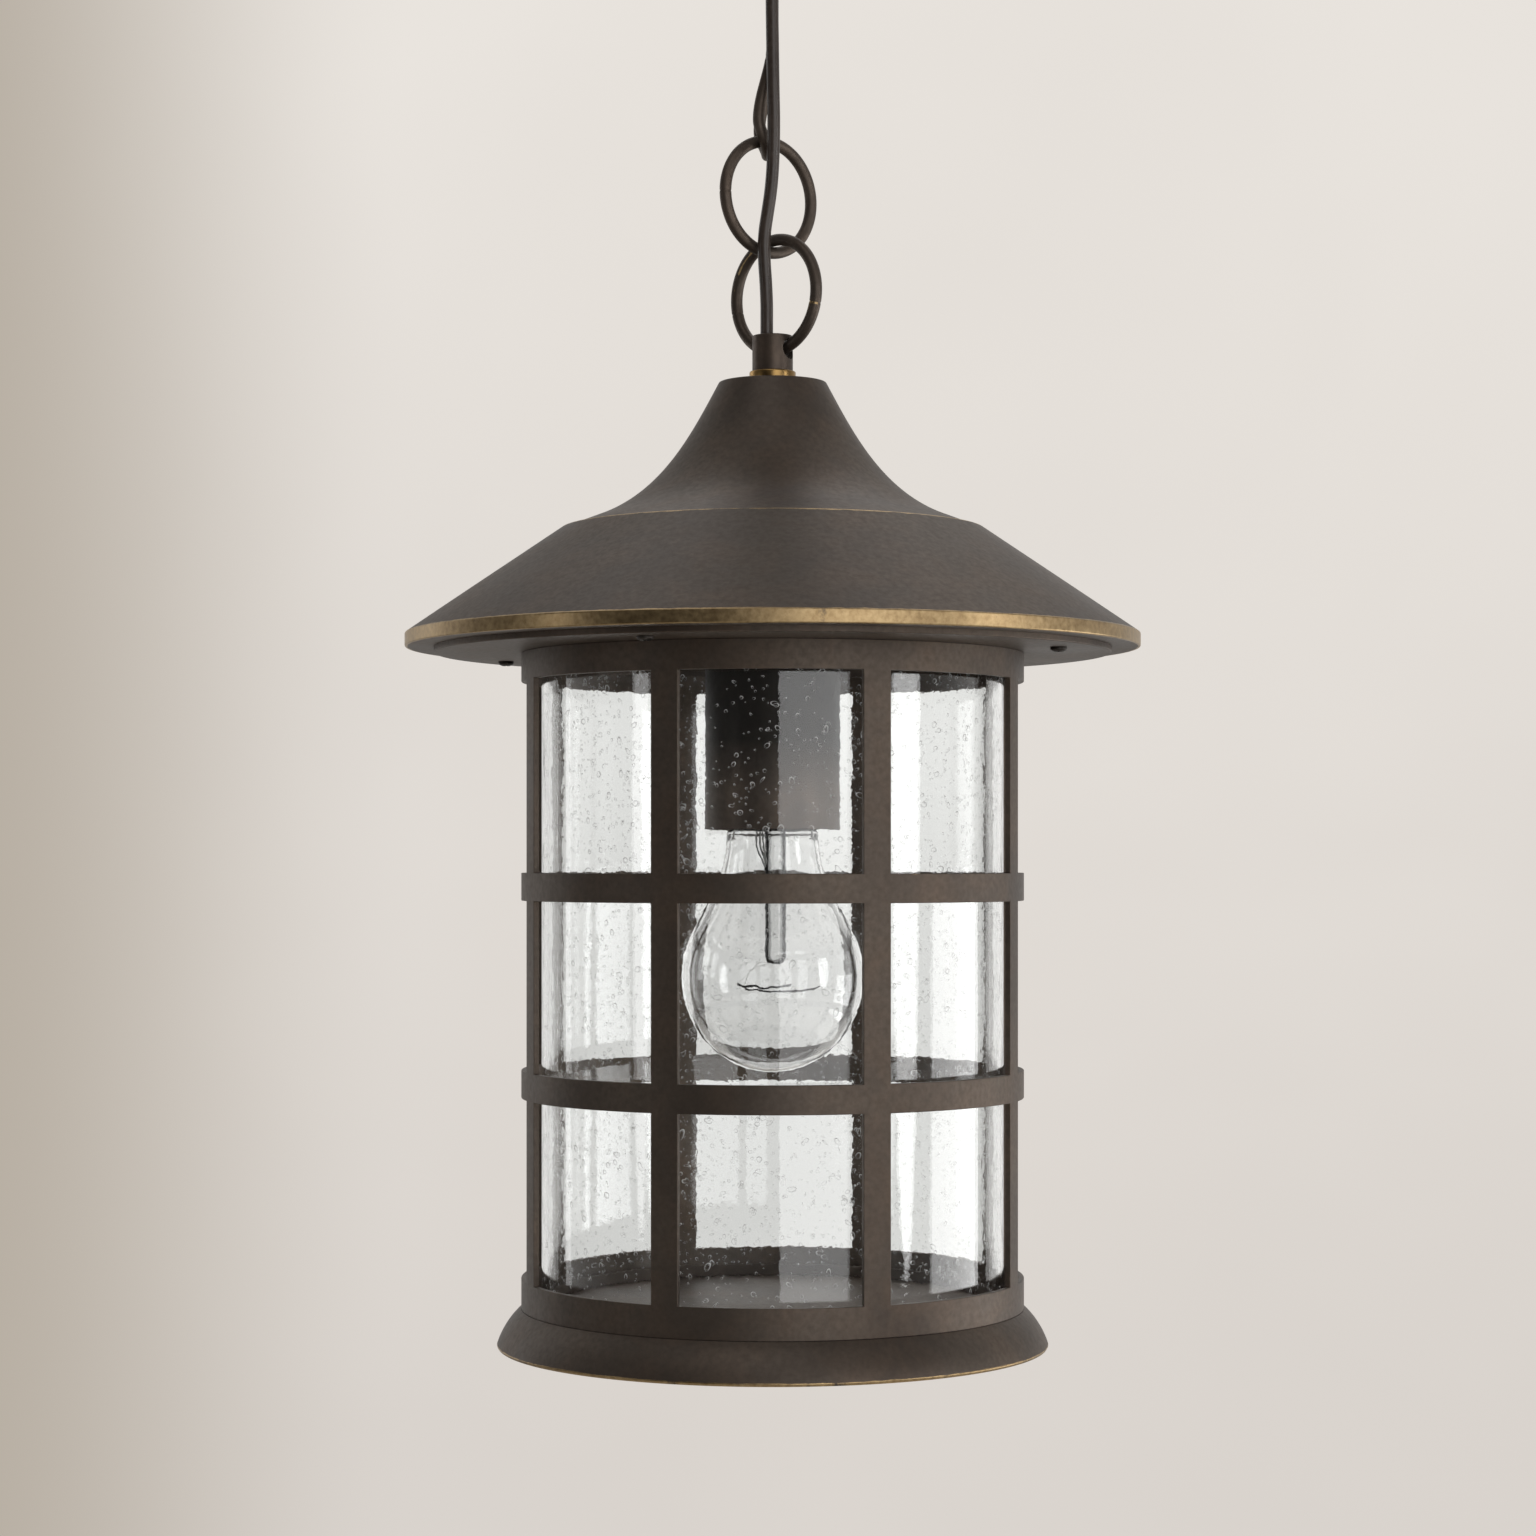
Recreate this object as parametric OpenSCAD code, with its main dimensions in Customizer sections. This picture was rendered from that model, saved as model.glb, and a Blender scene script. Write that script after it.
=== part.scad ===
// Outdoor hanging lantern: ceiling canopy, chain with cord, roof, caged glass cylinder and lamp.
// Millimetres, +Z up. The origin is the middle of the ceiling plane that the canopy is screwed to,
// and -Y is the front. All of it hangs below the origin.

/* [Ceiling canopy] */
// Outer diameter of the canopy at the ceiling
canopy_d = 120; // [112:1:140]
// Depth of the canopy below the ceiling
canopy_depth = 23; // [21:0.5:32]
// Height of the straight rim at the ceiling
canopy_rim_h = 3; // [2:0.5:6]
// Diameter of the flat bottom of the canopy
canopy_flat_d = 52; // [48:1:64]
// Sheet thickness of the canopy
canopy_wall = 1.2; // [0.8:0.1:1.6]
// Length of the mounting strap
strap_l = 104; // [98:1:106]
// Width of the mounting strap
strap_w = 20; // [18:1:26]
// Thickness of the mounting strap
strap_t = 2; // [1.5:0.1:3]
// Distance between the two box screws
box_screw_spacing = 88.9; // [86:0.1:90]
// Diameter of the holes for the box screws
box_screw_hole_d = 4.6; // [4.2:0.1:5]
// Distance of the earth screw from the middle of the strap
earth_screw_x = 26; // [20:1:32]
// Length of the earth screw
earth_screw_l = 9; // [6:0.5:12]
// Distance of the cord hole in front of the canopy's middle
cord_hole_y = 15; // [14.8:0.1:15.4]

/* [Loop and chain] */
// Diameter of the collar that screws the loop to the canopy
collar_d = 18; // [15:0.5:19]
// Height of the collar
collar_h = 10; // [8:0.5:14]
// Radius of the loop, to the middle of its wire
loop_r = 12.5; // [12:0.1:16]
// Wire diameter of the loop
loop_wire_d = 5; // [4.4:0.1:5.4]
// How far the loop's wire sinks into the collar
loop_sink = 1; // [0.6:0.1:2]
// Wire diameter of the link and the two rings
ring_wire_d = 4.1; // [3.7:0.05:4.3]
// Free space between two wires that hang in each other
wire_gap = 0.4; // [0.25:0.05:0.6]
// Height of the long link, between the middles of its wire
link_h = 62.6; // [60:0.2:66]
// Half of the link's width, to the middle of its wire
link_half_w = 9.5; // [9.2:0.1:10.5]
// Sideways place of the link's lower end
link_foot_x = -1.9; // [-2.4:0.1:-1.4]
// How far the lower half of the link bows out to the left
link_bow = 2.8; // [2:0.1:3]
// Radius of the rings, to the middle of their wire
ring_r = 19.2; // [18.8:0.1:20]
// Turn of the upper ring away from the front, left side nearer
upper_ring_turn = 40; // [36:1:42]
// Turn of the lower ring away from the front, right side nearer
lower_ring_turn = 43.7; // [40:0.1:46]

/* [Hub] */
// Outer diameter of the hub on top of the roof
hub_d = 14.1; // [13.6:0.1:16]
// Diameter of the bore that the cord and the lower ring share
hub_bore_d = 10.6; // [10.4:0.1:11]
// Height of the hub above the seat ring
hub_h = 12.5; // [12:0.1:14]
// Depth of the ring hole's middle below the hub's top
hub_hole_drop = 4.9; // [4.8:0.1:5.6]
// Radius of the cross hole that the lower ring turns in
hub_hole_r = 3.6; // [3.5:0.05:3.7]
// How far the ring hole lies behind the hub's middle
hub_hole_offset = 1.7; // [1.6:0.05:1.8]
// Diameter of the seat ring under the hub
seat_ring_d = 16.1; // [15.6:0.1:20]
// Thickness of the seat ring
seat_ring_h = 3.8; // [3:0.1:5]
// Diameter of the hub's spigot inside the seat ring
spigot_d = 12.4; // [12:0.1:12.8]
// Rounding of the hub's and the seat ring's edges
hub_round = 0.5; // [0.2:0.1:0.8]

/* [Roof] */
// Outer diameter of the roof at its rim
roof_d = 254; // [248:1:262]
// Height of the bell above the brim's upper edge
bell_h = 51.1; // [46:0.1:58]
// Diameter of the bell's flat top
bell_top_d = 37.2; // [34:0.2:42]
// Width of the straight skirt at the bell's foot
bell_skirt_w = 10.3; // [8:0.1:13]
// Slope of the bell's skirt, in degrees
bell_skirt_slope = 20.9; // [18:0.1:23]
// Diameter of the brim's upper edge
brim_top_d = 146.4; // [140:0.2:152]
// Height of the brim, from its upper edge to its lower face
brim_h = 41.2; // [38:0.1:46]
// How far the brim's lower half bulges beyond a straight cone
brim_crown = 0.1; // [0:0.1:3]
// Free space between the brim's upper edge and the bell
brim_edge_gap = 0.7; // [0.4:0.1:1.2]
// Depth of the ledge that the bell stands on, below the brim's upper edge
ledge_drop = 1.5; // [1:0.1:3]
// Width of the ledge
ledge_w = 8; // [6:0.5:12]
// Height of the straight face around the rim
rim_h = 4.5; // [3.6:0.1:6]
// Width of the hem under the brim, inside the circle of its screws
hem_lap_w = 6; // [4.5:0.1:9]
// Sheet thickness of the roof
roof_wall = 1.2; // [0.8:0.1:1.6]
// Width of the crossbar inside the roof
crossbar_w = 20; // [16:1:26]
// Thickness of the crossbar
crossbar_t = 2; // [1.5:0.1:3]
// How far the crossbar reaches under the ledge
crossbar_reach = 5; // [3:0.5:6]

/* [Soffit] */
// Diameter of the soffit plate
soffit_d = 234; // [230:1:240]
// Thickness of the soffit plate
soffit_t = 2; // [1.6:0.1:2.6]
// Free space between the soffit plate and the lampholder's cup
soffit_gap = 1; // [0.5:0.1:2]
// Distance of the roof screws from the middle
roof_screw_r = 104; // [102:0.5:107]
// Angle of the first roof screw, from the right side towards the back
roof_screw_turn = 67.5; // [60:0.5:75]
// Diameter of the roof screws' heads
roof_screw_head_d = 5.6; // [5:0.1:7]
// Height of the roof screws' heads under the soffit
roof_screw_head_h = 1.6; // [1.3:0.1:2.2]
// Shank diameter of the roof screws
roof_screw_d = 3.5; // [3:0.1:4]
// Length of the roof screws
roof_screw_l = 9; // [8:0.5:12]

/* [Cage] */
// Outer diameter of the cage
cage_d = 174; // [170:0.5:178]
// Wall thickness of the cage
cage_wall = 2; // [1.6:0.1:3]
// Height of the band below the lowest windows
bottom_band_h = 10.6; // [9:0.2:14]
// Height of the two bands between the windows
band_h = 9.6; // [7:0.2:13]
// Height of the band above the top windows
top_band_h = 9.8; // [8:0.2:14]
// Height of the lowest windows
low_window_h = 62; // [56:0.2:70]
// Height of the middle windows
middle_window_h = 58.4; // [54:0.2:66]
// Height of the top windows
top_window_h = 65.9; // [58:0.1:72]
// Angle of the first post from the front
post_angle_a = 23.4; // [21:0.1:25]
// Angle of the second post from the front
post_angle_b = 70.65; // [66:0.05:72]
// Width of a post
post_w = 9.7; // [8:0.1:13]
// Thickness of the flange inside the cage's foot
cage_flange_t = 1.2; // [1:0.1:2]
// Free space around the glass inside that flange
glass_pass_gap = 0.7; // [0.5:0.1:1]

/* [Base] */
// Diameter of the base at its widest
base_d = 190.8; // [184:0.2:198]
// Height of the flared base below the cage
base_h = 13.3; // [11:0.1:17]
// How far the flare bulges beyond a straight cone
flare_bulge = 1; // [0.5:0.1:2]
// Sheet thickness of the base
base_wall = 1.2; // [1:0.1:1.8]
// Width of the lip rolled in under the base
base_lip_w = 3; // [2:0.1:5]
// Width of the base's flange inside the circle of its screws
base_lap_w = 8.85; // [6:0.05:20]
// Thickness of the floor plate
floor_t = 1.2; // [1:0.1:2]
// Number of base screws
base_screws_n = 3; // [3:1:6]
// Shank diameter of the base screws
base_screw_d = 2.4; // [2:0.1:2.6]
// Diameter of the base screws' heads
base_screw_head_d = 5; // [4.4:0.1:5.6]

/* [Glass] */
// Outer diameter of the glass cylinder
glass_d = 160; // [156:0.5:162]
// Wall thickness of the glass cylinder
glass_wall = 2; // [1.8:0.1:3.5]
// Thickness of the gaskets under and over the glass
gasket_t = 1.5; // [1:0.1:2.5]
// Height of the gaskets' lip inside the glass
gasket_lip_h = 2.5; // [1.5:0.1:4]
// Width of the gaskets' lip
gasket_lip_w = 1.4; // [1:0.1:2.4]

/* [Lampholder] */
// Outer diameter of the cup around the lampholder
cup_d = 46.8; // [42.6:0.2:52]
// Length of the cup
cup_l = 67.5; // [64:0.5:72]
// How far the cup hangs below the soffit
cup_drop = 60.8; // [56:0.2:64]
// Sheet thickness of the cup
cup_wall = 1; // [0.8:0.1:1.6]
// Outer diameter of the threaded stems
stem_d = 10.4; // [10:0.1:10.4]
// Bore of the threaded stems
stem_bore_d = 7.6; // [7.4:0.1:8]
// Height of the roof stem's upper end inside the hub, above the seat ring
stem_in_hub = 1.6; // [0.6:0.1:1.8]
// Depth of the roof stem's lower end in the lampholder's boss
stem_in_boss = 9; // [7:0.5:11]
// Width across the corners of the hexagonal nuts
nut_d = 17; // [15:0.5:20]
// Thickness of the hexagonal nuts
nut_h = 4.3; // [3:0.1:6]
// Diameter of the washer under the bell
washer_d = 20; // [18:0.5:26]
// Thickness of the washer
washer_t = 1; // [0.8:0.1:1.6]
// Outer diameter of the lampholder's ceramic body
holder_d = 37; // [34:0.5:40]
// Depth of the lampholder's mouth inside the cup
mouth_depth = 4.6; // [4.2:0.2:6]
// Length of the ceramic body, without its boss
holder_l = 42; // [40:0.5:43]
// Diameter of the boss on the stem
boss_d = 18; // [16:0.5:20]
// Length of the boss
boss_l = 6; // [5:0.5:8]
// Diameter of the screw shell inside
shell_bore_d = 27.4; // [27:0.1:28]
// Thickness of the screw shell
shell_wall = 0.7; // [0.5:0.1:1]

/* [Bulb] */
// Largest diameter of the bulb
bulb_d = 63.2; // [58:0.2:66]
// Length of the bulb's glass below the cup's mouth
bulb_drop = 84; // [78:0.5:90]
// Diameter of the bulb's cap
cap_d = 26.2; // [25.8:0.1:26.4]
// Length of the cap's metal shell
cap_l = 20; // [18:0.5:22]
// Wall thickness of the bulb's glass
bulb_wall = 0.8; // [0.5:0.1:1.2]
// Radius of the glass stem inside the bulb
bulb_stem_r = 3.6; // [2.4:0.1:4.4]
// Half of the filament's width
filament_half_w = 14.7; // [12:0.1:16]
// Thickness of the filament's coil
filament_d = 0.8; // [0.5:0.1:1.2]

/* [Cord] */
// Outer diameter of the round supply cord
cord_d = 4.4; // [4:0.1:4.4]

/* [Clearances] */
// Radial gap between a shank, stem or cord and its hole
hole_gap = 0.1; // [0.05:0.01:0.2]
// Radial gap between parts that are dropped into each other
drop_gap = 0.3; // [0.2:0.05:0.5]

/* [Small details] */
// Wall of the bushing's neck around the cord
bushing_wall = 1.6; // [1.2:0.1:2]
// Width of the bushing's flanges around the cord
bushing_flange_w = 3; // [2.4:0.1:3.4]
// Thickness of the collar below its stem
collar_floor_t = 2; // [1:0.1:3]
// Height of the earth screw's head
earth_head_h = 2.4; // [1.6:0.1:3]
// Height of the roof screws' nuts
roof_nut_h = 3; // [2:0.1:4]
// Width of the roof screws' nuts across their corners
roof_nut_d = 7.8; // [7:0.1:9]
// Depth of the hexagonal recess in a screw's head
recess_depth = 1.2; // [0.8:0.1:1.4]
// Height of the base screws' heads
base_screw_head_h = 1.6; // [1.4:0.1:2]
// How far the base's flange reaches past the cage
base_seat_w = 0.2; // [0:0.05:0.4]
// Height of the small chamfer at the base's lower edge
base_chamfer_h = 0.8; // [0.4:0.1:1.2]
// Thickness of the ceramic between the holder's cavity and its boss
holder_web_h = 12; // [11:0.5:14]
// Distance of the screw shell's upper end below the ceramic's top
shell_drop = 15; // [14:0.5:17]
// Distance of the terminal screws below the ceramic's top
terminal_drop = 9.5; // [8:0.5:11]
// Radius of a terminal screw's shank
terminal_r = 1.5; // [1.2:0.1:1.8]

/* [Hidden] */
$fn = 96;

// How far a cutting body reaches past the faces that it cuts
over = 1;

// Colours of the materials
bronze = "#4a4039";
bronze_light = "#574c44";
brass = "#a98b4d";
steel = "#9a9a96";
black = "#23201e";
ceramic = "#e9e4da";
clear = [0.85, 0.9, 0.9, 0.35];
copper = "#b06a3c";

// Radii
canopy_r = canopy_d / 2;
roof_r = roof_d / 2;
hem_r = roof_screw_r - hem_lap_w;
cage_r = cage_d / 2;
cage_in_r = cage_r - cage_wall;
base_r = base_d / 2;
glass_r = glass_d / 2;
glass_in_r = glass_r - glass_wall;
cage_flange_r = glass_r + glass_pass_gap;
base_screw_r = (cage_flange_r + cage_in_r) / 2;
base_opening_r = base_screw_r - base_lap_w;
cord_r = cord_d / 2;
cord_hole_r = cord_r + bushing_wall;
earth_screw_r = 1.9;
wire_r = ring_wire_d / 2;
loop_wire_r = loop_wire_d / 2;
stem_r = stem_d / 2;
stem_hole_r = stem_r + hole_gap;
cup_r = cup_d / 2;
bulb_r = bulb_d / 2;
cap_r = cap_d / 2;
bell_top_r = bell_top_d / 2;
brim_top_r = brim_top_d / 2;
bell_foot_r = brim_top_r - roof_wall - brim_edge_gap;
ledge_in_r = brim_top_r - roof_wall - ledge_w;
holder_r = holder_d / 2;
shell_r = shell_bore_d / 2;
flare_top_r = cage_r + base_seat_w;

// Heights, from the ceiling down
loop_z = -canopy_depth - collar_h - loop_r + loop_sink;
loop_foot_z = loop_z - loop_r;
link_top_z = loop_foot_z + loop_wire_r + wire_r + wire_gap;
link_foot_z = link_top_z - link_h;
wire_step = ring_wire_d + wire_gap;
upper_ring_z = link_foot_z + wire_step - ring_r;
lower_ring_z = upper_ring_z - ring_r + wire_step - ring_r;
swing_z = lower_ring_z - ring_r;
hub_top_z = swing_z + hub_hole_drop;
hub_foot_z = hub_top_z - hub_h;
bell_top_z = hub_foot_z - seat_ring_h;
brim_top_z = bell_top_z - bell_h;
ledge_z = brim_top_z - ledge_drop;
crossbar_z = ledge_z - roof_wall - crossbar_t;
brim_foot_z = brim_top_z - brim_h;
soffit_z = brim_foot_z - soffit_t;
cage_h = bottom_band_h + low_window_h + band_h + middle_window_h + band_h + top_window_h + top_band_h;
cage_foot_z = soffit_z - cage_h;
base_foot_z = cage_foot_z - base_h;
low_window_z = cage_foot_z + bottom_band_h;
middle_window_z = low_window_z + low_window_h + band_h;
top_window_z = middle_window_z + middle_window_h + band_h;
glass_foot_z = cage_foot_z + floor_t + gasket_t;
glass_top_z = soffit_z - gasket_t;
cup_foot_z = soffit_z - cup_drop;
cup_top_z = cup_foot_z + cup_l;
mouth_z = cup_foot_z + mouth_depth;
holder_top_z = mouth_z + holder_l;
stem_top_z = hub_foot_z + stem_in_hub;
stem_foot_z = holder_top_z + boss_l - stem_in_boss;

// Places of the rings and the link, seen from above
lower_ring_at = hub_hole_offset * [sin(lower_ring_turn), cos(lower_ring_turn)];
upper_ring_at = [-1.4, 0.6];

// The cord's route, from its end inside the canopy down to its end inside the roof's stem
cord_route = [
    [0, -15, -15], [0, -15, -23], [0, -15, -35], [-0.2, -15, -50], [-0.1, -14.8, -65],
    [0.1, -14.6, -80], [0.3, -14.5, -94], [0.5, -13.6, -105], [0.4, -12.2, -114],
    [0, -10.5, -123], [-0.7, -9.2, -130], [-1.7, -8.2, -136.5], [-2.6, -7.5, -142.5],
    [-2.9, -7.2, -148], [-2.7, -6.7, -154], [-2.3, -5.7, -160], [-2, -4.2, -167],
    [-2, -2.7, -173], [-2, -2.1, -178], [-2, -2.1, -182], [-1.8, -1.9, -184.5],
    [-1.3, -1.4, -186.5], [-0.9, -1, -188.3], [-0.8, -0.9, -190], [-0.8, -0.9, -191.5]
];

// Points on an arc from p to q whose middle stands off the chord by bulge, to the left of p to q
function arc_points(p, q, bulge, n) =
    let (chord = q - p, half = norm(chord) / 2, side = [-chord[1], chord[0]] / norm(chord))
    abs(bulge) < 0.001
        ? [for (i = [0 : n]) p + chord * i / n]
        : let (
            r = (half * half + bulge * bulge) / (2 * bulge),
            middle = p + chord / 2 + side * (bulge - r),
            start = atan2(p[1] - middle[1], p[0] - middle[0]),
            sweep = -2 * asin(half / r)
        )
        [for (i = [0 : n]) middle + abs(r) * [cos(start + sweep * i / n), sin(start + sweep * i / n)]];

// Point t on the curve with the four control points p
function curve_point(p, t) =
    pow(1 - t, 3) * p[0] + 3 * pow(1 - t, 2) * t * p[1] + 3 * (1 - t) * t * t * p[2] + pow(t, 3) * p[3];

// Unit normal of an outline at point i, to the right of its direction
function outline_normal(pts, i) =
    let (
        a = pts[max(i - 1, 0)],
        b = pts[min(i + 1, len(pts) - 1)],
        d = (b - a) / norm(b - a)
    )
    [d[1], -d[0]];

// Smooth step from 0 to 1
function smooth(u) = let (v = min(max(u, 0), 1)) v * v * (3 - 2 * v);

// Torus around Z with the wire's middle on radius r
module wire_ring(r, w) {
    rotate_extrude()
        translate([r, 0])
            circle(r = w, $fn = 40);
}

// Tube with sides faces along the points, with closed ends, or closed into a loop
module tube(pts, r, sides, closed) {
    n = len(pts);
    dirs = [
        for (i = [0 : n - 1])
            let (
                a = closed ? pts[(i + n - 1) % n] : pts[max(i - 1, 0)],
                b = closed ? pts[(i + 1) % n] : pts[min(i + 1, n - 1)]
            )
            (b - a) / norm(b - a)
    ];
    rings = [
        for (i = [0 : n - 1])
            let (
                u = cross(dirs[i], [1, 0, 0]) / norm(cross(dirs[i], [1, 0, 0])),
                v = cross(dirs[i], u)
            )
            [for (k = [0 : sides - 1]) pts[i] + r * (cos(360 * k / sides) * u + sin(360 * k / sides) * v)]
    ];
    last = closed ? n - 1 : n - 2;
    walls = [
        for (i = [0 : last])
            for (k = [0 : sides - 1])
                let (
                    j = (i + 1) % n,
                    m = (k + 1) % sides
                )
                each [
                    [i * sides + k, i * sides + m, j * sides + m],
                    [i * sides + k, j * sides + m, j * sides + k]
                ]
    ];
    start_cap = [for (k = [1 : sides - 2]) [0, k + 1, k]];
    end_cap = [for (k = [1 : sides - 2]) [(n - 1) * sides, (n - 1) * sides + k, (n - 1) * sides + k + 1]];
    polyhedron(
        [for (ring = rings) each ring],
        closed ? walls : concat(walls, start_cap, end_cap),
        convexity = 6
    );
}

// Ring of material between two radii and two heights
module ring(r_in, r_out, z_low, z_high) {
    rotate_extrude()
        translate([r_in, z_low])
            square([r_out - r_in, z_high - z_low]);
}

// Hexagonal nut on the stem, with its lower face at z
module stem_nut(z) {
    difference() {
        translate([0, 0, z])
            cylinder(h = nut_h, d = nut_d, $fn = 6);
        translate([0, 0, z - over])
            cylinder(h = nut_h + 2 * over, r = stem_hole_r);
    }
}

// Copies the children to the four roof screws
module at_roof_screws() {
    for (i = [0 : 3])
        rotate([0, 0, roof_screw_turn + 90 * i])
            translate([roof_screw_r, 0, 0])
                children();
}

// Copies the children to the base screws
module at_base_screws() {
    for (i = [0 : base_screws_n - 1])
        rotate([0, 0, 90 + 360 * i / base_screws_n])
            translate([base_screw_r, 0, 0])
                children();
}

module mounting_strap() {
    color(steel)
        difference() {
            translate([-strap_l / 2, -strap_w / 2, -strap_t])
                cube([strap_l, strap_w, strap_t]);
            translate([0, 0, -strap_t - over])
                cylinder(h = strap_t + 2 * over, r = stem_hole_r);
            for (side = [-1, 1])
                translate([side * box_screw_spacing / 2, 0, -strap_t - over])
                    cylinder(h = strap_t + 2 * over, d = box_screw_hole_d);
            translate([earth_screw_x, 0, -strap_t - over])
                cylinder(h = strap_t + 2 * over, r = earth_screw_r + hole_gap);
        }
}

module earth_screw() {
    head_r = 2 * earth_screw_r;
    slot_w = 1;
    color("#3f7a4a")
        translate([earth_screw_x, 0, 0]) {
            translate([0, 0, -earth_screw_l])
                cylinder(h = earth_screw_l - drop_gap, r = earth_screw_r);
            difference() {
                translate([0, 0, -earth_screw_l - earth_head_h])
                    cylinder(h = earth_head_h, r = head_r, $fn = 6);
                translate([-head_r - over, -slot_w / 2, -earth_screw_l - earth_head_h - over])
                    cube([2 * (head_r + over), slot_w, over + 0.9]);
            }
        }
}

module canopy_stem() {
    color(steel)
        ring(stem_bore_d / 2, stem_r, -canopy_depth - collar_h + collar_floor_t, -drop_gap);
}

module strap_nut() {
    color(steel)
        stem_nut(-strap_t - nut_h);
}

module canopy_dish() {
    flat_r = canopy_flat_d / 2;
    outer = concat(
        [[stem_hole_r, -canopy_depth], [flat_r, -canopy_depth]],
        arc_points([flat_r, -canopy_depth], [canopy_r, -canopy_rim_h], -4, 12),
        [[canopy_r, 0]]
    );
    inner = concat(
        [[canopy_r - canopy_wall, 0]],
        arc_points(
            [canopy_r - canopy_wall, -canopy_rim_h],
            [flat_r, canopy_wall - canopy_depth],
            4 - canopy_wall * 0.2,
            12
        ),
        [[stem_hole_r, canopy_wall - canopy_depth]]
    );
    color(bronze)
        difference() {
            rotate_extrude($fn = 144)
                polygon(concat(outer, inner));
            translate([0, -cord_hole_y, -canopy_depth - over])
                cylinder(h = canopy_wall + 2 * over, r = cord_hole_r);
        }
}

module canopy_loop() {
    collar_top = -canopy_depth;
    color(bronze)
        difference() {
            union() {
                translate([0, 0, collar_top - collar_h])
                    cylinder(h = collar_h, d = collar_d);
                translate([0, 0, loop_z])
                    rotate([90, 0, 0])
                        wire_ring(loop_r, loop_wire_r);
            }
            translate([0, 0, collar_top - collar_h + collar_floor_t - hole_gap])
                cylinder(h = collar_h, r = stem_hole_r);
        }
}

module canopy_bushing() {
    bore_r = cord_r + hole_gap;
    neck_r = cord_hole_r - hole_gap;
    flange_r = cord_r + bushing_flange_w;
    taper_l = 5;
    flange_t = 1.4;
    color(black)
        translate([0, -cord_hole_y, -canopy_depth])
            rotate_extrude($fn = 48)
                polygon([
                    [bore_r, -taper_l], [bore_r + 1, -taper_l], [flange_r, -flange_t], [flange_r, 0],
                    [neck_r, 0], [neck_r, canopy_wall + 0.2], [flange_r - 0.6, canopy_wall + 0.2],
                    [flange_r - 0.6, canopy_wall + 0.2 + flange_t], [bore_r, canopy_wall + 0.2 + flange_t]
                ]);
}

module cord_cores() {
    core_r = 0.9;
    core_at = 1.15;
    core_l = 9;
    start = cord_route[0];
    color(copper)
        for (i = [0 : 2])
            translate([
                start[0] + core_at * cos(90 + 120 * i),
                start[1] + core_at * sin(90 + 120 * i),
                start[2]
            ])
                cylinder(h = core_l, r = core_r, $fn = 24);
}

module supply_cord() {
    color(black)
        tube(cord_route, cord_r, 10, false);
}

// Middle line of the long link: a rounded oblong whose lower half bows out to the left
link_side_l = link_h - 2 * link_half_w;
bow_h = 10;
straight_h = 36;
bow_z = link_foot_z + bow_h;
straight_z = link_foot_z + straight_h;
function link_sway(z) =
    z < bow_z
        ? link_foot_x - link_bow * smooth((z - link_foot_z) / (bow_z - link_foot_z))
        : (link_foot_x - link_bow) * (1 - smooth((z - bow_z) / (straight_z - bow_z)));
function link_point(y, z) = [link_sway(z), y, z];
link_line = concat(
    [for (i = [0 : 11]) link_point(-link_half_w, link_foot_z + link_half_w + link_side_l * i / 12)],
    [for (i = [0 : 11])
        link_point(
            -link_half_w * cos(15 * i),
            link_top_z - link_half_w + link_half_w * sin(15 * i)
        )],
    [for (i = [0 : 11]) link_point(link_half_w, link_top_z - link_half_w - link_side_l * i / 12)],
    [for (i = [0 : 11])
        link_point(
            link_half_w * cos(15 * i),
            link_foot_z + link_half_w - link_half_w * sin(15 * i)
        )]
);

module long_link() {
    color(bronze)
        tube(link_line, wire_r, 14, true);
}

module upper_ring() {
    color(bronze)
        translate([upper_ring_at[0], upper_ring_at[1], upper_ring_z])
            rotate([0, 0, upper_ring_turn])
                rotate([90, 0, 0])
                    wire_ring(ring_r, wire_r);
}

module lower_ring() {
    color(bronze)
        translate([lower_ring_at[0], lower_ring_at[1], lower_ring_z])
            rotate([0, 0, -lower_ring_turn])
                rotate([90, 0, 0])
                    wire_ring(ring_r, wire_r);
}

module hub() {
    hub_r = hub_d / 2;
    color(bronze_light)
        difference() {
            rotate_extrude($fn = 96)
                polygon([
                    [hub_bore_d / 2, bell_top_z], [spigot_d / 2, bell_top_z],
                    [spigot_d / 2, hub_foot_z], [hub_r, hub_foot_z],
                    [hub_r, hub_top_z - hub_round], [hub_r - hub_round, hub_top_z],
                    [hub_bore_d / 2, hub_top_z]
                ]);
            translate([lower_ring_at[0], lower_ring_at[1], swing_z])
                rotate([0, 0, -lower_ring_turn])
                    rotate([0, 90, 0])
                        cylinder(h = 2 * hub_d, r = hub_hole_r, center = true);
        }
}

module seat_ring() {
    r = seat_ring_d / 2;
    color(brass)
        rotate_extrude($fn = 96)
            polygon([
                [spigot_d / 2 + hole_gap, bell_top_z], [r - hub_round, bell_top_z],
                [r, bell_top_z + hub_round], [r, hub_foot_z - hub_round],
                [r - hub_round, hub_foot_z], [spigot_d / 2 + hole_gap, hub_foot_z]
            ]);
}

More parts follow.
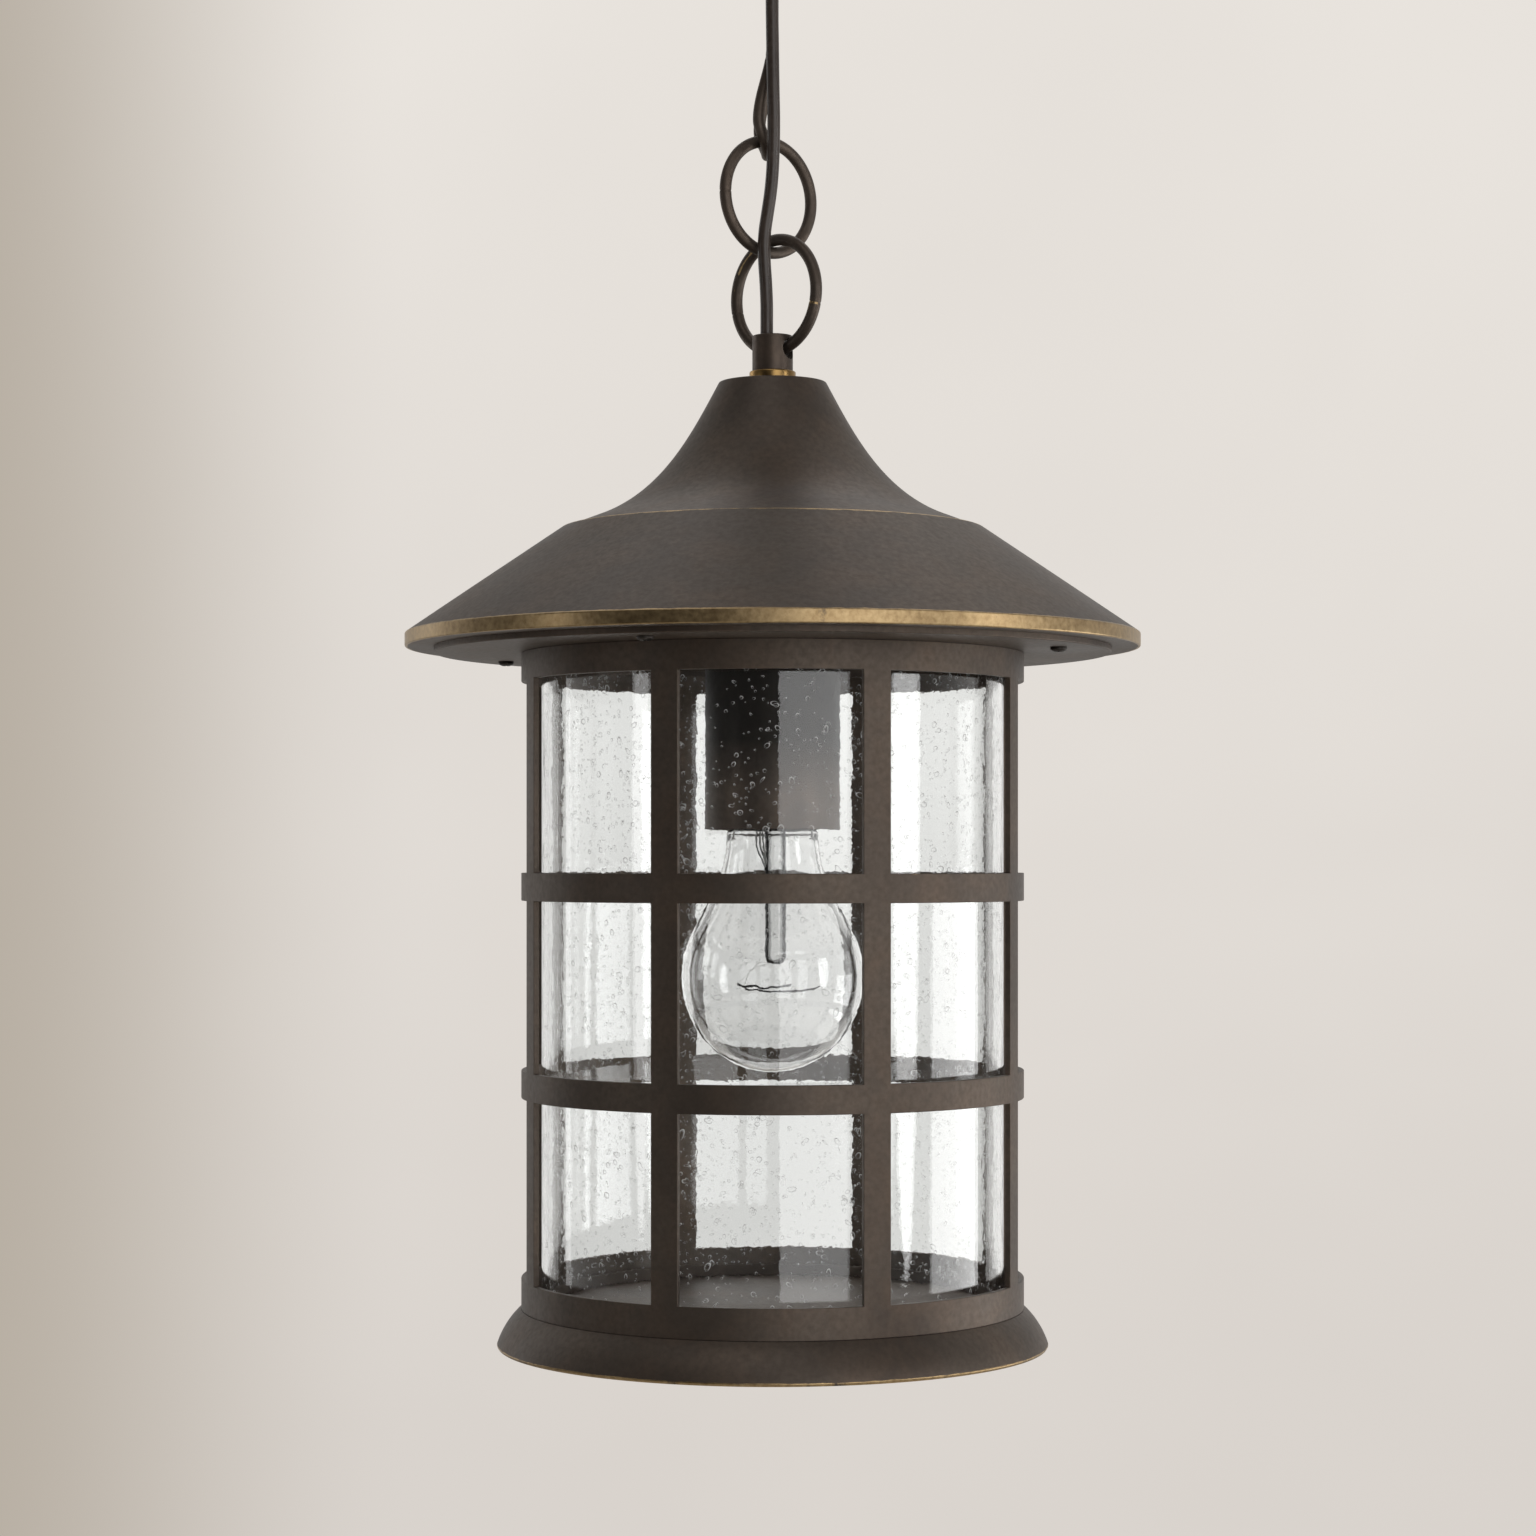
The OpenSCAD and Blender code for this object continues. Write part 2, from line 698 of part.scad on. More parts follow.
// Outer line of the bell, from its flat top down to its foot on the brim's ledge
foot_corner = [bell_foot_r, brim_top_z + 0.15];
skirt_start = foot_corner + bell_skirt_w * [-1, tan(bell_skirt_slope)];
bell_run = skirt_start[0] - bell_top_r;
bell_fall = bell_top_z - skirt_start[1];
bell_curve = [
    [bell_top_r, bell_top_z],
    [bell_top_r + 0.225 * bell_run, bell_top_z - 0.379 * bell_fall],
    [bell_top_r + 0.462 * bell_run, bell_top_z - 0.815 * bell_fall],
    skirt_start
];
bell_line = concat([for (i = [1 : 24]) curve_point(bell_curve, i / 24)], [foot_corner]);

module roof_bell() {
    n = len(bell_line);
    inner = [for (i = [n - 1 : -1 : 0]) bell_line[i] + roof_wall * outline_normal(bell_line, i)];
    foot_in_r = bell_foot_r - roof_wall;
    color(bronze)
        rotate_extrude($fn = 180)
            polygon(concat(
                [
                    [stem_hole_r, bell_top_z], [bell_top_r - 0.9, bell_top_z],
                    [bell_top_r - 0.2, bell_top_z - 0.2]
                ],
                bell_line,
                [[bell_foot_r, ledge_z], [foot_in_r, ledge_z]],
                [for (p = inner) if (p[0] < foot_in_r && p[1] < bell_top_z - roof_wall - 0.3) p],
                [[bell_top_r - roof_wall, bell_top_z - roof_wall], [stem_hole_r, bell_top_z - roof_wall]]
            ));
}

module bell_washer() {
    top = bell_top_z - roof_wall;
    color(steel)
        ring(stem_hole_r, washer_d / 2, top - washer_t, top);
}

module bell_nut() {
    color(steel)
        stem_nut(bell_top_z - roof_wall - washer_t - nut_h);
}

// Outer line of the brim, from its upper edge down to the rim
brim_start = [brim_top_r, brim_top_z];
brim_end = [roof_r, brim_foot_z + rim_h];
brim_out = [brim_start[1] - brim_end[1], brim_end[0] - brim_start[0]] / norm(brim_end - brim_start);
brim_curve = [
    brim_start,
    brim_start + (brim_end - brim_start) / 3 + 0.15 * brim_crown * brim_out,
    brim_start + (brim_end - brim_start) * 2 / 3 + brim_crown * brim_out,
    brim_end
];
brim_line = [for (i = [0 : 18]) curve_point(brim_curve, i / 18)];

module roof_brim() {
    n = len(brim_line);
    inner = [for (i = [n - 1 : -1 : 0]) brim_line[i] + roof_wall * outline_normal(brim_line, i)];
    ledge_foot_z = ledge_z - roof_wall;
    ledge_foot_r = lookup(ledge_foot_z, [for (p = inner) [p[1], p[0]]]);
    lip_in_r = brim_top_r - roof_wall;
    rim_in_r = roof_r - roof_wall;
    color(bronze)
        difference() {
            rotate_extrude($fn = 180)
                polygon(concat(
                    brim_line,
                    [
                        [roof_r, brim_foot_z], [hem_r, brim_foot_z],
                        [hem_r, brim_foot_z + roof_wall], [rim_in_r, brim_foot_z + roof_wall],
                        [rim_in_r, lookup(rim_in_r, inner)]
                    ],
                    [for (p = inner) if (p[0] < rim_in_r - 0.2 && p[1] < ledge_foot_z - 0.2) p],
                    [
                        [ledge_foot_r, ledge_foot_z], [ledge_in_r, ledge_foot_z], [ledge_in_r, ledge_z],
                        [lip_in_r, ledge_z], [lip_in_r, brim_top_z]
                    ]
                ));
            at_roof_screws()
                translate([0, 0, brim_foot_z - over])
                    cylinder(h = roof_wall + 2 * over, r = roof_screw_d / 2 + hole_gap, $fn = 32);
        }
}

module roof_stem() {
    color(steel)
        ring(stem_bore_d / 2, stem_r, stem_foot_z, stem_top_z);
}

module roof_crossbar() {
    bar_l = 2 * (ledge_in_r + crossbar_reach);
    color(steel)
        difference() {
            translate([-bar_l / 2, -crossbar_w / 2, crossbar_z])
                cube([bar_l, crossbar_w, crossbar_t]);
            translate([0, 0, crossbar_z - over])
                cylinder(h = crossbar_t + 2 * over, r = stem_hole_r);
        }
}

module crossbar_nut() {
    color(steel)
        stem_nut(crossbar_z - nut_h);
}

module roof_screw_nuts() {
    color(steel)
        at_roof_screws()
            translate([0, 0, brim_foot_z + roof_wall])
                difference() {
                    cylinder(h = roof_nut_h, d = roof_nut_d, $fn = 6);
                    translate([0, 0, -over])
                        cylinder(h = roof_nut_h + 2 * over, r = roof_screw_d / 2 + hole_gap, $fn = 32);
                }
}

module roof_screws() {
    head_r = roof_screw_head_d / 2;
    recess_r = 1.3;
    color(black)
        at_roof_screws()
            difference() {
                translate([0, 0, soffit_z])
                    rotate_extrude($fn = 48)
                        polygon([
                            [0, -roof_screw_head_h], [head_r - 0.8, -roof_screw_head_h],
                            [head_r, 0.8 - roof_screw_head_h], [head_r, 0], [roof_screw_d / 2, 0],
                            [roof_screw_d / 2, roof_screw_l], [0, roof_screw_l]
                        ]);
                translate([0, 0, soffit_z - roof_screw_head_h - over])
                    cylinder(h = recess_depth + over, r = recess_r, $fn = 6);
            }
}

module soffit_plate() {
    shank_r = roof_screw_d / 2 + 0.2;
    color(bronze)
        difference() {
            ring(cup_r + soffit_gap, soffit_d / 2, soffit_z, brim_foot_z);
            at_roof_screws()
                translate([0, 0, soffit_z - over])
                    cylinder(h = soffit_t + 2 * over, r = shank_r, $fn = 48);
        }
}

module holder_cup() {
    cup_in_r = cup_r - cup_wall;
    color(bronze)
        rotate_extrude($fn = 120)
            polygon([
                [stem_hole_r, cup_top_z], [cup_r - 1.2, cup_top_z], [cup_r - 0.35, cup_top_z - 0.35],
                [cup_r, cup_top_z - 1.2], [cup_r, cup_foot_z], [cup_in_r, cup_foot_z],
                [cup_in_r, cup_top_z - cup_wall - 0.8], [cup_in_r - 0.8, cup_top_z - cup_wall],
                [stem_hole_r, cup_top_z - cup_wall]
            ]);
}

module cup_nuts() {
    color(steel) {
        stem_nut(cup_top_z);
        stem_nut(cup_top_z - cup_wall - nut_h);
    }
}

module holder_body() {
    cavity_r = shell_r + shell_wall + 0.2;
    cavity_top = holder_top_z - holder_web_h;
    boss_top = holder_top_z + boss_l;
    shoulder_w = 5;
    color(ceramic)
        difference() {
            rotate_extrude($fn = 96)
                polygon([
                    [cavity_r, mouth_z], [holder_r - 0.8, mouth_z], [holder_r, mouth_z + 0.8],
                    [holder_r, holder_top_z - shoulder_w - 1], [holder_r - shoulder_w, holder_top_z],
                    [boss_d / 2, holder_top_z], [boss_d / 2, boss_top], [stem_hole_r, boss_top],
                    [stem_hole_r, cavity_top + 6], [0, cavity_top + 6], [0, cavity_top],
                    [cavity_r, cavity_top]
                ]);
            for (side = [0, 180])
                rotate([0, 0, side])
                    translate([holder_r - shoulder_w, 0, holder_top_z - terminal_drop])
                        rotate([0, 90, 0])
                            cylinder(h = shoulder_w + over, r = terminal_r + hole_gap, $fn = 32);
        }
}

module holder_shell() {
    color(brass)
        ring(shell_r, shell_r + shell_wall, mouth_z + 1, holder_top_z - shell_drop);
}

module holder_contact() {
    cavity_top = holder_top_z - holder_web_h;
    tip_z = bulb_contact_z + drop_gap;
    tip_r = 2.6;
    spring_r = 6;
    spring_t = 1;
    color(brass) {
        translate([0, 0, tip_z])
            cylinder(h = cavity_top - tip_z, r = tip_r, $fn = 40);
        translate([0, 0, cavity_top - spring_t])
            cylinder(h = spring_t, r = spring_r, $fn = 40);
    }
}

module terminal_screws() {
    shank_l = 5;
    head_r = 2.9;
    head_h = 1.6;
    slot_w = 0.8;
    color(brass)
        for (side = [0, 180])
            rotate([0, 0, side])
                translate([0, 0, holder_top_z - terminal_drop])
                    rotate([0, 90, 0]) {
                        translate([0, 0, holder_r + 0.5 - shank_l])
                            cylinder(h = shank_l, r = terminal_r, $fn = 32);
                        difference() {
                            translate([0, 0, holder_r])
                                cylinder(h = head_h, r = head_r, $fn = 32);
                            translate([-slot_w / 2, -head_r - over, holder_r + 1])
                                cube([slot_w, 2 * (head_r + over), head_h]);
                        }
                    }
}

module inner_cord() {
    start = cord_route[len(cord_route) - 1] - [0, 0, hole_gap];
    foot = stem_foot_z - 2;
    color(black)
        translate([start[0], start[1], foot])
            cylinder(h = start[2] - foot, r = cord_r, $fn = 32);
}

// Angles of the eight posts, from the front
post_angles = [
    post_angle_a, post_angle_b, 180 - post_angle_b, 180 - post_angle_a,
    180 + post_angle_a, 180 + post_angle_b, 360 - post_angle_b, 360 - post_angle_a
];
post_half_angle = asin(post_w / 2 / cage_r);
window_rows = [
    [low_window_z, low_window_h],
    [middle_window_z, middle_window_h],
    [top_window_z, top_window_h]
];

module cage() {
    flange_z = cage_foot_z + floor_t;
    color(bronze)
        difference() {
            union() {
                ring(cage_in_r, cage_r, cage_foot_z, soffit_z);
                ring(cage_flange_r, cage_in_r + cage_wall / 2, flange_z, flange_z + cage_flange_t);
            }
            for (i = [0 : 7])
                let (
                    from = post_angles[i] + post_half_angle,
                    to = (i < 7 ? post_angles[i + 1] : post_angles[0] + 360) - post_half_angle
                )
                for (row = window_rows)
                    rotate([0, 0, from - 90])
                        rotate_extrude(angle = to - from)
                            translate([cage_in_r - over, row[0]])
                                square([cage_wall + 2 * over, row[1]]);
            at_base_screws()
                translate([0, 0, flange_z - over])
                    cylinder(h = cage_flange_t + 2 * over, r = base_screw_d / 2 + hole_gap, $fn = 32);
        }
}

// A gasket: a flat ring under the glass and a lip inside it
module gasket() {
    lip_out_r = glass_in_r - drop_gap;
    lip_in_r = lip_out_r - gasket_lip_w;
    rotate_extrude($fn = 120)
        polygon([
            [lip_in_r, 0], [glass_r + drop_gap, 0], [glass_r + drop_gap, gasket_t],
            [lip_out_r, gasket_t], [lip_out_r, gasket_t + gasket_lip_h],
            [lip_in_r, gasket_t + gasket_lip_h]
        ]);
}

module top_gasket() {
    color(black)
        translate([0, 0, soffit_z])
            mirror([0, 0, 1])
                gasket();
}

module glass_cylinder() {
    color(clear)
        ring(glass_in_r, glass_r, glass_foot_z, glass_top_z);
}

module bottom_gasket() {
    color(black)
        translate([0, 0, cage_foot_z + floor_t])
            gasket();
}

module floor_plate() {
    color(bronze)
        difference() {
            translate([0, 0, cage_foot_z])
                cylinder(h = floor_t, r = cage_in_r - hole_gap, $fn = 144);
            at_base_screws()
                translate([0, 0, cage_foot_z - over])
                    cylinder(h = floor_t + 2 * over, r = base_screw_d / 2 + hole_gap, $fn = 32);
        }
}

module base_flare() {
    flare = arc_points([flare_top_r, cage_foot_z], [base_r, base_foot_z + base_chamfer_h], flare_bulge, 12);
    n = len(flare);
    inner = [
        for (i = [n - 1 : -1 : 0])
            let (p = flare[i] + base_wall * outline_normal(flare, i))
            if (p[1] < cage_foot_z - base_wall && p[1] > base_foot_z + base_wall) p
    ];
    color(bronze)
        difference() {
            rotate_extrude($fn = 180)
                polygon(concat(
                    flare,
                    [
                        [base_r - 0.5, base_foot_z], [base_r - base_lip_w, base_foot_z],
                        [base_r - base_lip_w, base_foot_z + base_wall]
                    ],
                    inner,
                    [
                        [cage_r - 2, cage_foot_z - base_wall],
                        [base_opening_r, cage_foot_z - base_wall],
                        [base_opening_r, cage_foot_z]
                    ]
                ));
            at_base_screws()
                translate([0, 0, cage_foot_z - base_wall - over])
                    cylinder(h = base_wall + 2 * over, r = base_screw_d / 2 + hole_gap, $fn = 32);
        }
}

module base_screws() {
    head_z = cage_foot_z - base_wall;
    shank_end = 1;
    shank_l = base_wall + floor_t + cage_flange_t + shank_end;
    recess_r = 1.1;
    recess_h = 0.8;
    color(steel)
        at_base_screws() {
            translate([0, 0, head_z])
                cylinder(h = shank_l, r = base_screw_d / 2, $fn = 32);
            difference() {
                translate([0, 0, head_z - base_screw_head_h])
                    cylinder(h = base_screw_head_h, r = base_screw_head_d / 2, $fn = 32);
                translate([0, 0, head_z - base_screw_head_h - over])
                    cylinder(h = recess_h + over, r = recess_r, $fn = 6);
            }
        }
}

// Heights of the bulb, whose neck ends a little way inside the cup
bulb_stretch = 1.3;
neck_inset = 1.6;
neck_flare_w = 2.3;
neck_round_h = 2;
cap_glue_w = 1.2;
insulator_h = 2.5;
contact_t = 1;
bulb_foot_z = cup_foot_z - bulb_drop;
bulb_wide_z = bulb_foot_z + bulb_r + bulb_stretch;
neck_z = cup_foot_z + neck_inset;
neck_r = cap_r + neck_flare_w;
neck_in_r = cap_r - cap_glue_w;
cap_z = neck_z + neck_round_h;
bulb_contact_z = cap_z + cap_l + insulator_h + contact_t;

// Outer line of the bulb's glass: a round foot and a shoulder drawn in to the neck
bulb_low = [
    for (i = [0 : 12])
        [bulb_r * sin(90 * i / 12), bulb_wide_z - (bulb_wide_z - bulb_foot_z) * cos(90 * i / 12)]
];
bulb_shoulder = [
    [bulb_r, bulb_wide_z],
    [bulb_r, bulb_wide_z + 20],
    [neck_r + 1.4, bulb_wide_z + 24],
    [neck_r, neck_z]
];
bulb_line = concat(bulb_low, [for (i = [1 : 14]) curve_point(bulb_shoulder, i / 14)]);

module bulb_glass() {
    inner = [
        for (i = [len(bulb_line) - 1 : -1 : 1])
            bulb_line[i] - bulb_wall * outline_normal(bulb_line, i)
    ];
    color(clear)
        rotate_extrude($fn = 96)
            polygon(concat(
                bulb_line,
                [
                    [neck_r - 0.6, neck_z + 1.3], [cap_r + 0.3, cap_z], [neck_in_r, cap_z],
                    [neck_in_r, cap_z + 5], [neck_in_r - bulb_wall, cap_z + 5],
                    [neck_in_r - bulb_wall, cap_z - bulb_wall]
                ],
                inner,
                [[0, bulb_foot_z + bulb_wall]]
            ));
}

module bulb_cap() {
    cap_sheet = 1;
    color(steel)
        difference() {
            translate([0, 0, cap_z])
                cylinder(h = cap_l, r = cap_r);
            translate([0, 0, cap_z - over])
                cylinder(h = cap_l - cap_sheet + over, r = cap_r - cap_sheet);
        }
}

module bulb_insulator() {
    z = cap_z + cap_l;
    foot_r = cap_r - 3;
    top_r = 5.5;
    color(black)
        rotate_extrude($fn = 64)
            polygon([[0, z], [foot_r, z], [top_r, z + insulator_h], [0, z + insulator_h]]);
}

module bulb_contact() {
    contact_r = 4.6;
    color(brass)
        translate([0, 0, bulb_contact_z - contact_t])
            cylinder(h = contact_t, r = contact_r, $fn = 48);
}

// Heights of the glass stem's foot and of the filament, from the bulb's widest place
stem_foot_rise = 4.6;
filament_drop = 4;
stem_foot = bulb_wide_z + stem_foot_rise;
filament_z = bulb_wide_z - filament_drop;

module bulb_stem() {
    flare_r = neck_in_r - bulb_wall - 0.2;
    color(clear)
        rotate_extrude($fn = 48)
            polygon([
                [0, stem_foot], [bulb_stem_r - 1, stem_foot], [bulb_stem_r, stem_foot + 1],
                [bulb_stem_r, cap_z - 4], [flare_r, cap_z + 4], [flare_r - 1, cap_z + 4],
                [bulb_stem_r - 1, cap_z - 3], [0, cap_z - 3]
            ]);
}

module bulb_wires() {
    wire = 0.3;
    gap = 0.05;
    color(steel)
        for (side = [-1, 1])
            hull() {
                translate([side * 1.6, 0, stem_foot - wire - gap])
                    sphere(r = wire, $fn = 10);
                translate([side * filament_half_w, 0, filament_z + filament_d / 2 + wire + gap])
                    sphere(r = wire, $fn = 10);
            }
}

module bulb_filament() {
    color("#8a8a88")
        translate([-filament_half_w, 0, filament_z])
            rotate([0, 90, 0])
                cylinder(h = 2 * filament_half_w, d = filament_d, $fn = 20);
}

mounting_strap();
earth_screw();
canopy_stem();
strap_nut();
canopy_dish();
canopy_loop();
canopy_bushing();
cord_cores();
supply_cord();
long_link();
upper_ring();
lower_ring();
hub();
seat_ring();
roof_bell();
bell_washer();
bell_nut();
roof_brim();
roof_stem();
roof_crossbar();
crossbar_nut();
roof_screw_nuts();
roof_screws();
soffit_plate();
holder_cup();
cup_nuts();
holder_body();
holder_shell();
holder_contact();
terminal_screws();
inner_cord();
cage();
top_gasket();
glass_cylinder();
bottom_gasket();
floor_plate();
base_flare();
base_screws();
bulb_glass();
bulb_cap();
bulb_insulator();
bulb_contact();
bulb_stem();
bulb_wires();
bulb_filament();
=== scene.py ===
import math
import random

import bmesh
import bpy
from mathutils import Matrix, Vector


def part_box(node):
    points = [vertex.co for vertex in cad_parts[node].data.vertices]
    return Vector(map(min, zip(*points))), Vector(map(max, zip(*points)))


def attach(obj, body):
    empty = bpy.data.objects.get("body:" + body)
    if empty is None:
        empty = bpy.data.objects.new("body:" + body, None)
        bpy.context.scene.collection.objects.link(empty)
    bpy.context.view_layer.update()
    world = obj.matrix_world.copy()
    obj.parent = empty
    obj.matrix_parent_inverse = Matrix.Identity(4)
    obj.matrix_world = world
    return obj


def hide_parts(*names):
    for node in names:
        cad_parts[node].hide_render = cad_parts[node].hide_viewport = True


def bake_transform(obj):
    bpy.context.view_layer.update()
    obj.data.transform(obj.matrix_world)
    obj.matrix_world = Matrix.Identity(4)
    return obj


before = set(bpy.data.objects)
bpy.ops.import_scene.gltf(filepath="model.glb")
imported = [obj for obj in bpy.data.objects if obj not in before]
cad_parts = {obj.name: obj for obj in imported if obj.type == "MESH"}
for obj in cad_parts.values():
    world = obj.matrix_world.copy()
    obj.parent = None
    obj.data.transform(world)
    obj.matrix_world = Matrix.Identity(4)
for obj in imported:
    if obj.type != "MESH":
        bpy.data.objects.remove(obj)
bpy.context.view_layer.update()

MM = 0.001
TURN = 2 * math.pi


def node_foot(node):
    """The height of a CAD node's lowest point, in millimetres."""
    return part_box(node)[0].z / MM


def node_top(node):
    """The height of a CAD node's highest point, in millimetres."""
    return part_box(node)[1].z / MM


def node_radius(node):
    """How far a round CAD node reaches from the axis, in millimetres."""
    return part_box(node)[1].x / MM


# Camera, world and lights
AXIS_DISTANCE = 1150.0
EYE_Z = -359.45
EYE_SIDE = -1.6
EYE_TURN = math.radians(0.5)
LAMP_AIM = Vector((0, 0, -0.36))


def add_camera():
    data = bpy.data.cameras.new("camera")
    data.lens = 77.65
    data.sensor_width = 36
    data.shift_y = 0.0599
    data.clip_start = 0.05
    camera = bpy.data.objects.new("camera", data)
    right = Vector((math.cos(EYE_TURN), math.sin(EYE_TURN), 0))
    ahead = Vector((-math.sin(EYE_TURN), math.cos(EYE_TURN), 0))
    camera.location = (right * EYE_SIDE - ahead * AXIS_DISTANCE) * MM
    camera.location.z = EYE_Z * MM
    camera.rotation_euler = (math.pi / 2, 0, EYE_TURN)
    bpy.context.collection.objects.link(camera)
    bpy.context.scene.camera = camera


def area_light(name, azimuth, elevation, distance, width, height, power, shape="RECTANGLE"):
    """A soft lamp, its azimuth in degrees from the front towards the right."""
    data = bpy.data.lights.new(name, "AREA")
    data.shape = shape
    data.size, data.size_y = width, height
    data.energy = power
    light = bpy.data.objects.new(name, data)
    a, e = math.radians(azimuth), math.radians(elevation)
    way = Vector((math.sin(a) * math.cos(e), -math.cos(a) * math.cos(e), math.sin(e)))
    light.location = LAMP_AIM + way * distance
    light.rotation_euler = (-way).to_track_quat("-Z", "Y").to_euler()
    light.visible_camera = False
    bpy.context.collection.objects.link(light)


def srgb(red, green, blue):
    """A colour written as 0 to 255 on the screen, as the linear colour that shaders take."""
    def linear(level):
        level /= 255
        return level / 12.92 if level <= 0.04045 else ((level + 0.055) / 1.055) ** 2.4
    return (linear(red), linear(green), linear(blue), 1.0)


class Graph:
    """A node tree with short calls that add a node and link what feeds it."""

    def __init__(self, tree):
        self.tree = tree
        tree.nodes.clear()
        self.place = self.node("TexCoord").outputs["Object"]

    def node(self, kind, inputs=None, **settings):
        node = self.tree.nodes.new("ShaderNode" + kind)
        for key, value in settings.items():
            setattr(node, key, value)
        for key, value in (inputs or {}).items():
            if isinstance(value, bpy.types.NodeSocket):
                self.tree.links.new(value, node.inputs[key])
            else:
                node.inputs[key].default_value = value
        return node

    def noise(self, scale, detail=3.0, roughness=0.5, distortion=0.0, place=None):
        return self.node("TexNoise", {
            "Vector": place or self.place, "Scale": scale, "Detail": detail,
            "Roughness": roughness, "Distortion": distortion}).outputs[0]

    def spread(self, value, low, high, to_low=0.0, to_high=1.0):
        return self.node("MapRange", {
            0: value, 1: low, 2: high, 3: to_low, 4: to_high}).outputs[0]

    def maths(self, operation, first, second=0.0):
        return self.node("Math", {0: first, 1: second}, operation=operation).outputs[0]

    def mix(self, factor, first, second):
        return self.node("Mix", {0: factor, 6: first, 7: second}, data_type="RGBA").outputs[2]

    def bump(self, height, distance, strength=1.0):
        return self.node("Bump", {"Height": height, "Distance": distance, "Strength": strength}).outputs[0]


def material(name):
    made = bpy.data.materials.new(name)
    made.use_nodes = True
    return made, Graph(made.node_tree)


def finish_material(graph, shader):
    graph.node("OutputMaterial", {"Surface": shader})


def set_world():
    """A pale wall for the camera, a brighter one through glass, and a soft studio for the rest."""
    world = bpy.data.worlds.new("studio")
    world.use_nodes = True
    bpy.context.scene.world = world
    g = Graph(world.node_tree)
    way = g.node("TexCoord").outputs["Generated"]
    path = g.node("LightPath").outputs
    x, y, z = g.node("SeparateXYZ", {0: way}).outputs
    inside = g.spread(path["Transmission Depth"], 1.0, 2.0, 0.42, 0.8)
    behind = g.maths("MULTIPLY", g.spread(y, -0.15, 0.6), inside)
    behind = g.maths("MULTIPLY", behind, g.spread(x, -0.8, -0.3, 0.75, 1.0))
    behind = g.maths("ADD", behind, g.spread(y, 0.75, 0.95, 0.0, 0.2))
    right = g.spread(x, -0.1, 0.9, 0.0, 0.12)
    above = g.spread(z, 0.5, 1.0, 0.04, 0.36)
    level = g.maths("ADD", g.maths("ADD", behind, right), above)
    cool, warm = g.maths("MULTIPLY", level, 0.985), g.maths("MULTIPLY", level, 0.96)
    studio = g.node("CombineColor", {0: level, 1: cool, 2: warm}).outputs[0]
    cloudy = g.spread(g.noise(2.6, 4.0, 0.6, 0.4, way), 0.35, 0.65, -0.18, 0.18)
    lift = g.maths("ADD", g.spread(z, -0.2, 0.25), cloudy)
    wall = g.mix(lift, srgb(217, 211, 205), srgb(233, 228, 222))
    edge = g.node("MapRange", {0: x, 1: -0.25, 2: -0.11}, interpolation_type="SMOOTHSTEP").outputs[0]
    wall = g.mix(edge, srgb(183, 174, 162), wall)
    tint = g.mix(g.spread(x, 0.0, 0.05), srgb(236, 235, 232), srgb(243, 242, 239))
    bright = g.node("VectorMath", {0: tint, "Scale": g.spread(z, -0.03, 0.03, 0.92, 1.06)},
                    operation="SCALE").outputs[0]
    bounced = g.maths("ADD", path["Diffuse Depth"], path["Glossy Depth"])
    direct = g.maths("MULTIPLY", path["Is Transmission Ray"], g.spread(bounced, 0.0, 1.0, 1.0, 0.0))
    seen = g.mix(direct, studio, bright)
    seen = g.mix(path["Is Camera Ray"], seen, wall)
    shown = g.node("Background", {"Color": seen, "Strength": 1.0}).outputs[0]
    g.node("OutputWorld", {"Surface": shown})


def add_floor():
    size, z = 3.4, -1.6
    mesh = bpy.data.meshes.new("floor")
    rim = [(size * math.cos(TURN * k / 96), size * math.sin(TURN * k / 96), z) for k in range(96)]
    mesh.from_pydata(rim, [], [tuple(range(96))])
    floor = bpy.data.objects.new("floor", mesh)
    bpy.context.collection.objects.link(floor)
    made, g = material("floor_paint")
    tone = g.mix(g.noise(3.0, 4.0), srgb(214, 209, 202), srgb(222, 217, 210))
    shader = g.node("BsdfPrincipled", {"Base Color": tone, "Roughness": 0.8})
    finish_material(g, shader.outputs[0])
    mesh.materials.append(made)


bpy.context.scene.view_settings.view_transform = "Standard"
add_camera()
set_world()
add_floor()
area_light("right_front_panel", 24, 3, 1.6, 1.2, 1.6, 10.6)
area_light("right_panel", 68, 5, 1.7, 0.46, 1.0, 4.8, "ELLIPSE")
area_light("far_right_panel", 102, -16, 1.8, 1.2, 1.0, 9.6)
area_light("left_panel", -66, 1, 1.8, 0.3, 0.7, 1.2, "ELLIPSE")
area_light("left_back_panel", -125, 8, 1.8, 0.5, 1.5, 2.8)
area_light("high_front_panel", -12, 56, 1.8, 1.2, 0.8, 3.2)
area_light("high_back_panel", 172, 56, 1.8, 1.4, 0.9, 3.1)


